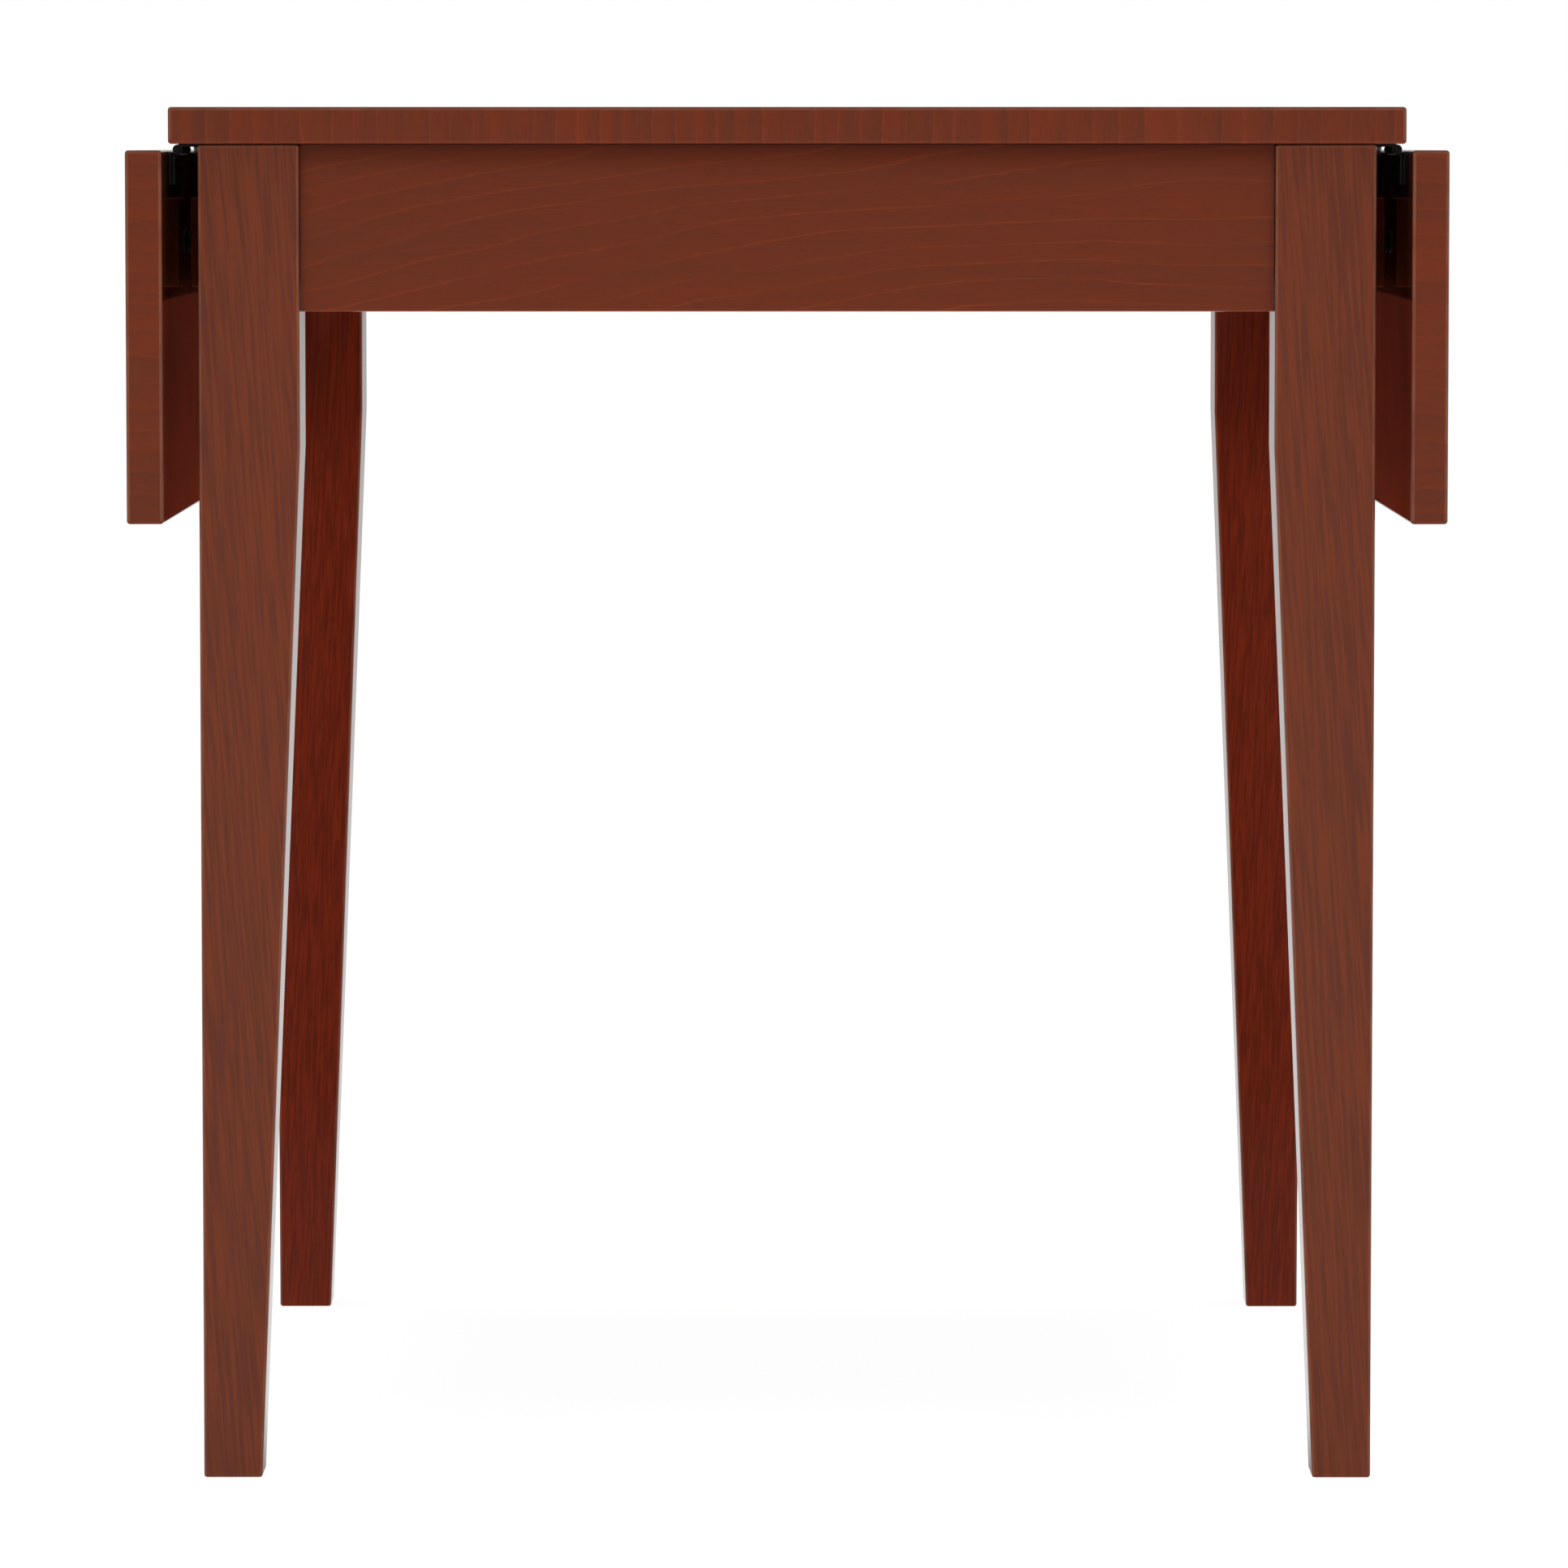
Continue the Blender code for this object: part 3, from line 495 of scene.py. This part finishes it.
def set_inputs(modifier, **values):
    """Sets the named inputs of a Geometry Nodes modifier."""
    entries = modifier.node_group.interface.items_tree
    sockets = {entry.name: entry.identifier for entry in entries if entry.in_out == "INPUT"}
    for label, value in values.items():
        modifier[sockets[label.replace("_", " ").title()]] = value


def dress(finish, *nodes, facing=None, face_finish=None):
    """Gives CAD nodes their finish and smooth edges, and perhaps another finish on the face to one side."""
    for name in nodes:
        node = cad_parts[name]
        for holder in node.material_slots:
            holder.material = finish
        node.modifiers.new("smooth_edges", "NODES").node_group = smooth_edges
        if face_finish:
            side = node.modifiers.new("one_face", "NODES")
            side.node_group = one_face
            set_inputs(side, facing=facing, finish=face_finish)
        weighted = node.modifiers.new("flat_faces", "WEIGHTED_NORMAL")
        weighted.keep_sharp = True


QUARTER = math.pi / 2
EIGHTH = math.pi / 4
ENDS = {"front": -1, "rear": 1}
SIDES = {"left": -1, "right": 1}
CORNERS = {
    f"{end}_{side}": Vector((across, along, 0))
    for end, along in ENDS.items()
    for side, across in SIDES.items()
}

LEG_SLANT = 0.075
INNER_SLANT = -0.045
LEG_SHIFT = (0, 0.55, 0.20)
LEG_ROUGHNESS = 0.15
# Lit leg colours, then painted-shade colours and gloss for the faces that front and rear legs turn to each
# other
LIT_LEG_PALE = (0.143, 0.0302, 0.0110, 1)
LIT_LEG_DEEP = (0.101, 0.0252, 0.0132, 1)
PAINTED_SHADE_LEG_PALE = (0.139, 0.0148, 0.0040, 1)
PAINTED_SHADE_LEG_DEEP = (0.087, 0.0109, 0.0042, 1)
PAINTED_SHADE_LEG_GLOSS = 0.13
leg_figure = dict(
    ring_spacing=0.013, wander=0.06, feather=0.9, ring_edge=0.15, band=0.3, cloud=0.3, streak=3.6,
    fineness=4.4, fibre=2.0, pores=0.5, sheen=LEG_ROUGHNESS,
)
leg_wood = wood_finish(
    "leg_wood", (0, QUARTER + LEG_SLANT, 0), LEG_SHIFT, pale=LIT_LEG_PALE, deep=LIT_LEG_DEEP, **leg_figure
)
inner_figure = {**leg_figure, "streak": 2.6, "fineness": 5.6}
leg_painted_shade_wood = wood_finish(
    "leg_painted_shade_wood", (0, QUARTER + INNER_SLANT, 0), LEG_SHIFT, gloss=PAINTED_SHADE_LEG_GLOSS,
    pale=PAINTED_SHADE_LEG_PALE, deep=PAINTED_SHADE_LEG_DEEP, **inner_figure,
)
for end, along in ENDS.items():
    legs = [f"leg_{end}_{side}" for side in SIDES]
    dress(leg_wood, *legs, facing=(0, -along, 0), face_finish=leg_painted_shade_wood)

# Aprons
# Four straight rails between the legs, of the same stained wood, with eased lower edges. Their grain runs
# lengthways and rises towards one end, where the growth rings show as fine pale flames. The front and rear
# rails are lacquered, with painted shade darkening them along the top, under the overhang of the top; the
# hidden side rails have only a thin matt coat.

BARE_ROUGHNESS = 0.75
BARE_GLOSS = 0.0
bare = dict(gloss=BARE_GLOSS, sheen=BARE_ROUGHNESS)
APRON_SHIFT = (-0.27, 1.30, 0.25)
SIDE_APRON_SHIFT = (-0.31, 1.30, 0.25)
apron_figure = dict(
    ring_spacing=0.0125, bow=-0.26, wander=0.045, feather=0.22, ring_edge=0.65,
    band=0.25, cloud=0.4, streak=0.4, fibre=0.9, pores=0.45,
)
apron_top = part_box("apron_front")[1].z
apron_wood = wood_finish("apron_wood", (QUARTER, 0, 0), APRON_SHIFT, painted_shade_below=apron_top, **apron_figure)
dress(apron_wood, "apron_front", "apron_rear")
side_lay = (QUARTER, 0, QUARTER)
side_apron_wood = wood_finish("side_apron_wood", side_lay, SIDE_APRON_SHIFT, **bare, **apron_figure)
dress(side_apron_wood, "apron_left", "apron_right")

# Corner blocks
# Blocks of plain unstained beech across the inside corners, sawn at an angle to bear on both aprons and
# screwed to them. Each leg is drawn up against its block by a threaded bolt in the leg and a flanged nut,
# both zinc-plated.

BEECH_PALE = (0.58, 0.40, 0.235, 1)
BEECH_DEEP = (0.45, 0.285, 0.150, 1)
BEECH_RING_EDGE = (0.36, 0.21, 0.105, 1)
BEECH_ROUGHNESS = 0.52
BLOCK_SHIFT = (0, 0.06, -0.66)
beech_figure = dict(
    ring_spacing=0.0045, wander=0.015, feather=0.5, ring_edge=0.5, band=0.6, streak=0.9, fibre=0.9, pores=0.5,
    pale=BEECH_PALE, deep=BEECH_DEEP, edge=BEECH_RING_EDGE, sheen=BEECH_ROUGHNESS, wear=0.0,
)
for slope, corners in ((1, ("front_left", "rear_right")), (-1, ("front_right", "rear_left"))):
    block_lay = (0, 0, slope * EIGHTH)
    block_beech = wood_finish(f"block_beech_{corners[0]}", block_lay, BLOCK_SHIFT, **beech_figure)
    dress(block_beech, *[f"corner_block_{corner}" for corner in corners])

# Metal and rubber are mottled and faintly brushed
PATCHY_WAVES = (160.0, 160.0, 160.0)
PATCHY_SHARE = 1.6
BRUSHED_WAVES = (300.0, 300.0, 2600.0)
BRUSHED_SHARE = 0.8
GRIT_WAVES = (2400.0, 2400.0, 2400.0)
GRIT_DEPTH = 0.00004
GRIT_RELIEF = 0.25
SKIN_IOR = 1.5
skin_outputs = {"Mottle": NUMBER, "Height": NUMBER}
mottled, given = new_group("mottled", "ShaderNodeTree", {"Vector": (POSITION, None)}, skin_outputs)
patchy = drawn_out(mottled, given["Vector"], PATCHY_WAVES, detail=3.0, roughness=0.6)["Fac"]
brushed = drawn_out(mottled, given["Vector"], BRUSHED_WAVES)["Fac"]
grit = drawn_out(mottled, given["Vector"], GRIT_WAVES, detail=1.0)["Fac"]
tone = total(mottled, 0.5, swing(mottled, patchy, PATCHY_SHARE), swing(mottled, brushed, BRUSHED_SHARE))
add_node(mottled, "NodeGroupOutput", {"Mottle": tone, "Height": grit})


def mottled_skin(name, first, second, smooth, rough, metallic):
    """A skin that is mottled between two colours and two roughnesses."""
    made, tree = new_finish(name)
    spot = add_node(tree, "ShaderNodeTexCoord").outputs["Object"]
    skin = add_node(tree, "ShaderNodeGroup", {"Vector": spot}, node_tree=mottled).outputs
    relief = {"Strength": GRIT_RELIEF, "Distance": GRIT_DEPTH, "Height": skin["Height"]}
    surface = {
        "Base Color": mixed(tree, skin["Mottle"], paint(tree, first), paint(tree, second)),
        "Roughness": eased(tree, skin["Mottle"], 0.0, 1.0, smooth, rough),
        "Normal": add_node(tree, "ShaderNodeBump", relief).outputs[0],
        "Metallic": metallic,
        "IOR": SKIN_IOR,
    }
    shader = add_node(tree, "ShaderNodeBsdfPrincipled", surface)
    add_node(tree, "ShaderNodeOutputMaterial", {"Surface": shader.outputs[0]})
    return made


ZINC_PALE = (0.66, 0.67, 0.70, 1)
ZINC_DULL = (0.47, 0.47, 0.46, 1)
zinc = mottled_skin("zinc_plate", ZINC_PALE, ZINC_DULL, smooth=0.24, rough=0.42, metallic=1.0)
dress(zinc, *[f"leg_nut_{corner}" for corner in CORNERS])

# A bolt is a core rod with the thread wound round it as a ridge that tapers off at its end
DRIVE = "drive"
RIDGE_SHARE = 0.36
RIDGE_SIDES = 6
TURN_STEPS = 18
TAPER_START = 0.955
TAPER_END = 0.15
ROD_SIDES = 24


def driven(tree, given, shape, spin_seed=None):
    """Sets a shape on every point, along its drive direction, as plain faces with the tree's finish."""
    drive = {"Name": DRIVE}
    drive = add_node(tree, "GeometryNodeInputNamedAttribute", drive, data_type="FLOAT_VECTOR").outputs[0]
    turned = add_node(tree, "FunctionNodeAlignRotationToVector", {"Vector": drive}, axis="Z").outputs[0]
    if spin_seed is not None:
        spin = add_node(tree, "FunctionNodeRandomValue", data_type="FLOAT")
        for label, value in (("Max", math.pi), ("Seed", spin_seed)):
            entry = next(entry for entry in spin.inputs if entry.name == label and entry.enabled)
            entry.default_value = value
        about = {"Axis": (0, 0, 1), "Angle": next(entry for entry in spin.outputs if entry.enabled)}
        about = add_node(tree, "FunctionNodeAxisAngleToRotation", about).outputs[0]
        spun = {"Rotation": turned, "Rotate By": about}
        turned = add_node(tree, "FunctionNodeRotateRotation", spun, rotation_space="LOCAL").outputs[0]
    placed = {"Points": given["Geometry"], "Instance": shape, "Rotation": turned}
    placed = add_node(tree, "GeometryNodeInstanceOnPoints", placed).outputs[0]
    real = add_node(tree, "GeometryNodeRealizeInstances", {"Geometry": placed}).outputs[0]
    coated = {"Geometry": real, "Material": given["Finish"]}
    coated = add_node(tree, "GeometryNodeSetMaterial", coated).outputs[0]
    add_node(tree, "NodeGroupOutput", {"Geometry": coated})


rod_inputs = {
    "Geometry": (GEOMETRY, None), "Radius": (NUMBER, 0.004), "Length": (NUMBER, 0.08),
    "Pitch": (NUMBER, 0.00125), "Finish": (FINISH, None),
}
threaded_rod, given = new_group("threaded_rod", "GeometryNodeTree", rod_inputs, {"Geometry": GEOMETRY})
tree = threaded_rod
ridge = figure(tree, "MULTIPLY", given["Pitch"], RIDGE_SHARE)
root = figure(tree, "SUBTRACT", given["Radius"], ridge)
core = {"Vertices": ROD_SIDES, "Radius": root, "Depth": given["Length"]}
core = add_node(tree, "GeometryNodeMeshCylinder", core).outputs["Mesh"]
half = figure(tree, "MULTIPLY", given["Length"], 0.5)
half = add_node(tree, "ShaderNodeCombineXYZ", {"Z": half}).outputs[0]
core = add_node(tree, "GeometryNodeTransform", {"Geometry": core, "Translation": half}).outputs[0]
turns = figure(tree, "SUBTRACT", figure(tree, "DIVIDE", given["Length"], given["Pitch"]), 1.0)
climb = figure(tree, "MULTIPLY", turns, given["Pitch"])
winding = {
    "Resolution": TURN_STEPS, "Rotations": turns, "Start Radius": root, "End Radius": root, "Height": climb,
}
winding = add_node(tree, "GeometryNodeCurveSpiral", winding).outputs[0]
factor = add_node(tree, "GeometryNodeSplineParameter").outputs["Factor"]
taper = {"Curve": winding, "Radius": eased(tree, factor, TAPER_START, 1.0, 1.0, TAPER_END)}
winding = add_node(tree, "GeometryNodeSetCurveRadius", taper).outputs[0]
profile = {"Resolution": RIDGE_SIDES, "Radius": ridge}
profile = add_node(tree, "GeometryNodeCurvePrimitiveCircle", profile, mode="RADIUS").outputs[0]
thread = {"Curve": winding, "Profile Curve": profile, "Fill Caps": True}
thread = add_node(tree, "GeometryNodeCurveToMesh", thread).outputs[0]
joined = add_node(tree, "GeometryNodeJoinGeometry", {"Geometry": core})
tree.links.new(thread, joined.inputs["Geometry"])
driven(tree, given, keep_creases(tree, joined.outputs[0], CREASE))


def set_in_place(name, tree, body, slot, spots, finish, **sizes):
    """Makes one piece that rides on a body, with the tree's shape at each (place, direction)."""
    carrier = bpy.data.meshes.new(f"{name}_places")
    carrier.from_pydata([place for place, _ in spots], [], [])
    drives = carrier.attributes.new(DRIVE, "FLOAT_VECTOR", "POINT")
    for entry, (_, direction) in zip(drives.data, spots):
        entry.vector = direction
    piece = bpy.data.objects.new(name, carrier)
    bpy.context.scene.collection.objects.link(piece)
    making = piece.modifiers.new("making", "NODES")
    making.node_group = tree
    set_inputs(making, finish=finish, **sizes)
    graph = bpy.context.evaluated_depsgraph_get()
    settled = piece.evaluated_get(graph)
    made = bpy.data.meshes.new_from_object(settled, preserve_all_data_layers=True, depsgraph=graph)
    piece.modifiers.clear()
    piece.data = made
    made.name = name
    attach(piece, body)
    return piece


def middle(name):
    """The middle of a node's box."""
    low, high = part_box(name)
    return (low + high) / 2


bolt_low, bolt_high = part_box("leg_bolt_front_left")
bolt_radius = (bolt_high.z - bolt_low.z) / 2
bolt_length = math.sqrt(2) * (bolt_high.x - bolt_low.x) - 2 * bolt_radius
bolt_spots = []
for corner, outward in CORNERS.items():
    inward = -outward.normalized()
    bolt_spots.append((middle(f"leg_bolt_{corner}") - inward * bolt_length / 2, inward))
bolt_sizes = dict(radius=bolt_radius, length=bolt_length)
bolts = set_in_place("hanger_bolts", threaded_rod, "frame", "zinc_steel", bolt_spots, zinc, **bolt_sizes)
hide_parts(*[f"leg_bolt_{corner}" for corner in CORNERS])

# A screw shows as a domed head with a cross cut into it
DOME_SEGMENTS = 20
DOME_RINGS = 10
CROSS_REACH = 1.15
SCREW_CREASE = math.radians(30)
SPIN_SEED = 7
screw_inputs = {
    "Geometry": (GEOMETRY, None), "Head Radius": (NUMBER, 0.0034), "Head Height": (NUMBER, 0.0011),
    "Slot Width": (NUMBER, 0.0009), "Slot Depth": (NUMBER, 0.0010), "Finish": (FINISH, None),
}
wood_screw, given = new_group("wood_screw", "GeometryNodeTree", screw_inputs, {"Geometry": GEOMETRY})
tree = wood_screw
dome = {"Segments": DOME_SEGMENTS, "Rings": DOME_RINGS, "Radius": 1.0}
dome = add_node(tree, "GeometryNodeMeshUVSphere", dome).outputs["Mesh"]
spread = {"X": given["Head Radius"], "Y": given["Head Radius"], "Z": given["Head Height"]}
spread = add_node(tree, "ShaderNodeCombineXYZ", spread).outputs[0]
dome = add_node(tree, "GeometryNodeTransform", {"Geometry": dome, "Scale": spread}).outputs[0]
reach = figure(tree, "MULTIPLY", given["Head Radius"], CROSS_REACH)
deep = figure(tree, "MULTIPLY", given["Slot Depth"], 2.0)
lifted = add_node(tree, "ShaderNodeCombineXYZ", {"Z": given["Head Height"]}).outputs[0]
recess = add_node(tree, "GeometryNodeMeshBoolean", operation="DIFFERENCE", solver="EXACT")
tree.links.new(dome, recess.inputs["Mesh 1"])
for long_way, short_way in (("X", "Y"), ("Y", "X")):
    size = {long_way: reach, short_way: given["Slot Width"], "Z": deep}
    size = add_node(tree, "ShaderNodeCombineXYZ", size).outputs[0]
    cutter = add_node(tree, "GeometryNodeMeshCube", {"Size": size}).outputs["Mesh"]
    cutter = add_node(tree, "GeometryNodeTransform", {"Geometry": cutter, "Translation": lifted}).outputs[0]
    tree.links.new(cutter, recess.inputs["Mesh 2"])
driven(tree, given, keep_creases(tree, recess.outputs["Mesh"], SCREW_CREASE), SPIN_SEED)

BLOCK_SCREW_SHARE = 0.34
screw_spots = []
for corner, outward in CORNERS.items():
    inward = -outward.normalized()
    sideways = Vector((-inward.y, inward.x, 0))
    low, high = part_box(f"corner_block_{corner}")
    face = middle(f"corner_block_{corner}")
    for step in (-BLOCK_SCREW_SHARE, BLOCK_SCREW_SHARE):
        screw_spots.append((face + sideways * step * math.sqrt(2) * (high.x - low.x), inward))

# Cleats
# Two beech strips along the insides of the front and rear aprons, close under the top. Screws go through them
# level into the apron and upwards into the top, which they hold down.

DOWN = Vector((0, 0, -1))
CLEAT_SHIFT = (0, 0.10, -0.68)
CLEAT_SCREW_STEP = 0.100
cleat_beech = wood_finish("cleat_beech", (0, 0, 0), CLEAT_SHIFT, **beech_figure)
dress(cleat_beech, *[f"top_cleat_{end}" for end in ENDS])
for end, along in ENDS.items():
    low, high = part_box(f"top_cleat_{end}")
    centre = middle(f"top_cleat_{end}")
    inner_face = low.y if along > 0 else high.y
    for step in (-1, 0, 1):
        screw_spots.append((Vector((step * CLEAT_SCREW_STEP, centre.y, low.z)), DOWN))
    for step in (-0.5, 0.5):
        screw_spots.append((Vector((step * CLEAT_SCREW_STEP, inner_face, centre.z)), Vector((0, -along, 0))))

# Top
# A flat board of upright-grained staves glued edge to edge, with the grain from front to back, so that the
# front edge shows the staves' end grain as faint upright bands. Its edges are rounded over. The upper face
# and the edges are lacquered, and the underside is painted darker, as shade, with a thin matt coat.

STAVE_WIDTH = 0.084
STAVE_CONTRAST = 0.30
STAVE_SHUFFLE = (4.0, 0.5, 0.05)
GLUE_START = 0.4955
GLUE_DARKNESS = -0.35
stave_inputs = {
    "Vector": (POSITION, None), "Stave Width": (NUMBER, STAVE_WIDTH), "Contrast": (NUMBER, STAVE_CONTRAST),
}
stave_outputs = {"Vector": POSITION, "Tone": NUMBER}
glued_staves, given = new_group("glued_staves", "ShaderNodeTree", stave_inputs, stave_outputs)
tree = glued_staves
stave = add_node(tree, "ShaderNodeSeparateXYZ", {0: given["Vector"]}).outputs["Y"]
stave = figure(tree, "DIVIDE", stave, given["Stave Width"])
drawn = chance(tree, stave)
moved = vector_figure(tree, "MULTIPLY", drawn["Color"], STAVE_SHUFFLE).outputs[0]
moved = vector_figure(tree, "ADD", given["Vector"], moved).outputs[0]
from_centre = figure(tree, "ABSOLUTE", figure(tree, "SUBTRACT", figure(tree, "FRACT", stave), 0.5))
glue = eased(tree, from_centre, GLUE_START, 0.5, 0.0, GLUE_DARKNESS)
tone = total(tree, 0.5, glue, swing(tree, drawn["Value"], given["Contrast"]))
add_node(tree, "NodeGroupOutput", {"Vector": moved, "Tone": tone})

# The undersides' darker colour is painted shade
UNDERSIDE_SHADE_PALE = (0.080, 0.0136, 0.0066, 1)
UNDERSIDE_SHADE_DEEP = (0.054, 0.0125, 0.0078, 1)
UPRIGHT_GRAIN = 0.12
TOP_SHIFT = (0.1, 0.76, -0.08)
TOP_ROUGHNESS = 0.18
board_figure = dict(
    staves=glued_staves, ring_spacing=0.013, wander=0.030, feather=0.3, ring_edge=0.40, band=0.7, streak=1.1,
    fibre=1.0, pores=0.4,
)
underside_shade = dict(pale=UNDERSIDE_SHADE_PALE, deep=UNDERSIDE_SHADE_DEEP)
top_lay = ((0, 0, -QUARTER), TOP_SHIFT, (1, 1, UPRIGHT_GRAIN))
top_wood = wood_finish("top_wood", *top_lay, sheen=TOP_ROUGHNESS, **board_figure)
top_underside = wood_finish("top_underside", *top_lay, **bare, **underside_shade, **board_figure)
dress(top_wood, "table_top", facing=(0, 0, -1), face_finish=top_underside)

# A dark fill in the joint between the top and what it rests on, set back from the faces, as painted shade
SEAT_INSET = 0.003
SEAT_LAP = 0.00005
SEAT_PALE = (0.010, 0.004, 0.003, 1)
SEAT_DEEP = (0.006, 0.003, 0.002, 1)
SEAT_SHIFT = (0, 0.5, 0)
SEAT_ROUGHNESS = 0.6
seat_shape = bmesh.new()
seat_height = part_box("table_top")[0].z
seated = ["apron_front", "apron_rear", "apron_left", "apron_right"]
seated += [f"{piece}_{corner}" for piece in ("leg", "hinge_top_plate") for corner in CORNERS]
for name in seated:
    low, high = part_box(name)
    size = Vector((high.x - low.x - 2 * SEAT_INSET, high.y - low.y - 2 * SEAT_INSET, 0))
    size.z = seat_height - high.z + 2 * SEAT_LAP
    place = Vector(((low.x + high.x) / 2, (low.y + high.y) / 2, (seat_height + high.z) / 2))
    bmesh.ops.create_cube(seat_shape, size=1.0, matrix=Matrix.LocRotScale(place, None, size))
seat_mesh = bpy.data.meshes.new("top_seat")
seat_shape.to_mesh(seat_mesh)
seat_shape.free()
joint_shade_fill = wood_finish(
    "joint_shade_fill", (0, 0, 0), SEAT_SHIFT, sheen=SEAT_ROUGHNESS, pale=SEAT_PALE, deep=SEAT_DEEP
)
seat_mesh.materials.append(joint_shade_fill)
seat = bpy.data.objects.new("top_seat", seat_mesh)
bpy.context.scene.collection.objects.link(seat)
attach(seat, "frame")

# Leaves
# Two boards like the top, hinged along its sides. They hang with their upper faces outward, and their end
# grain shows as level bands. Their undersides are painted darker, as the shade they hang in, and polished,
# so that they mirror the frame.

LEAF_SHIFT = (0.2, 0.9, 0.2)
LEAF_UNDERSIDE_ROUGHNESS = 0.03
leaf_figure = {**board_figure, "band": 0.5, "streak": 0.7, "ring_edge": 0.3}
leaf_lay = ((0, QUARTER, -QUARTER), LEAF_SHIFT, (UPRIGHT_GRAIN, 1, 1))
leaf_wood = wood_finish("leaf_wood", *leaf_lay, sheen=TOP_ROUGHNESS, **leaf_figure)
leaf_underside = wood_finish(
    "leaf_underside", *leaf_lay, sheen=LEAF_UNDERSIDE_ROUGHNESS, **underside_shade, **leaf_figure
)
for side, across in SIDES.items():
    dress(leaf_wood, f"leaf_{side}", facing=(-across, 0, 0), face_finish=leaf_underside)

# Hinges
# Two to a leaf: plates of thin black-lacquered steel, rolled into knuckles that take turns along a steel pin.
# Each plate is held by three screws with low heads, up into the top or into the underside of the leaf.

BLACK_PALE = (0.016, 0.0150, 0.0145, 1)
BLACK_DEEP = (0.007, 0.0066, 0.0064, 1)
black_steel = mottled_skin("black_steel", BLACK_DEEP, BLACK_PALE, smooth=0.30, rough=0.46, metallic=0.0)
HINGE_NODES = ("hinge_top_plate", "hinge_leaf_plate", "hinge_pin")
dress(black_steel, *[f"{node}_{corner}" for node in HINGE_NODES for corner in CORNERS])

PLATE_GAUGE = 0.0013
HINGE_SCREW_STEP = 0.023
HINGE_SCREW_INSET = 0.008
HINGE_SCREW_HEAD = 0.0029
HINGE_SCREW_RISE = 0.0006
HINGE_SCREW_SLOT = 0.0005
plate_spots = []
leaf_spots = {side: [] for side in SIDES}
for corner, outward in CORNERS.items():
    top_low, top_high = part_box(f"hinge_top_plate_{corner}")
    leaf_low, leaf_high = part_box(f"hinge_leaf_plate_{corner}")
    flat_end = top_low.x if outward.x > 0 else top_high.x
    inner_face = (leaf_high.x - PLATE_GAUGE) if outward.x > 0 else (leaf_low.x + PLATE_GAUGE)
    side = corner.split("_")[1]
    for step in (-HINGE_SCREW_STEP, 0, HINGE_SCREW_STEP):
        along = middle(f"hinge_top_plate_{corner}").y + step
        place = Vector((flat_end + outward.x * HINGE_SCREW_INSET, along, top_high.z - PLATE_GAUGE))
        plate_spots.append((place, DOWN))
        place = Vector((inner_face, along, leaf_low.z + HINGE_SCREW_INSET))
        leaf_spots[side].append((place, Vector((-outward.x, 0, 0))))
low_head = dict(head_radius=HINGE_SCREW_HEAD, head_height=HINGE_SCREW_RISE, slot_depth=HINGE_SCREW_SLOT)
set_in_place("hinge_screws", wood_screw, "frame", "black_steel", plate_spots, black_steel, **low_head)
for side, spots in leaf_spots.items():
    leaf = f"leaf_{side}"
    set_in_place(f"{leaf}_screws", wood_screw, leaf, "black_steel", spots, black_steel, **low_head)

# Swing-out supports
# Two blocks of the stained wood on each side apron, with a thin matt coat. Each carries a flat black steel
# arm on a post, which swings out to hold the raised leaf. The blocks are screwed on through the apron from
# inside.

SUPPORT_SHIFT = (0.1, 1.30, 0.25)
SUPPORT_SCREW_STEP = Vector((0, 0.012, 0.014))
support_wood = wood_finish("support_block_wood", side_lay, SUPPORT_SHIFT, **bare, **apron_figure)
dress(support_wood, *[f"support_block_{corner}" for corner in CORNERS])
dress(black_steel, *[f"support_arm_{corner}" for corner in CORNERS])
for corner, outward in CORNERS.items():
    low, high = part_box("apron_left" if outward.x < 0 else "apron_right")
    inner_face = high.x if outward.x < 0 else low.x
    centre = middle(f"support_block_{corner}")
    for step in (-SUPPORT_SCREW_STEP, SUPPORT_SCREW_STEP):
        screw_spots.append((Vector((inner_face, centre.y, centre.z)) + step, Vector((-outward.x, 0, 0))))
set_in_place("frame_screws", wood_screw, "frame", "zinc_steel", screw_spots, zinc)

# Leaf pads
# Small buttons of black rubber on the outer faces of the support blocks. The hanging leaf rests against them,
# which keeps it upright and clear of the frame.

RUBBER_PALE = (0.026, 0.0255, 0.025, 1)
RUBBER_DEEP = (0.015, 0.0148, 0.0145, 1)
black_rubber = mottled_skin("black_rubber", RUBBER_PALE, RUBBER_DEEP, smooth=0.62, rough=0.80, metallic=0.0)
dress(black_rubber, *[f"leaf_bumper_{corner}" for corner in CORNERS])
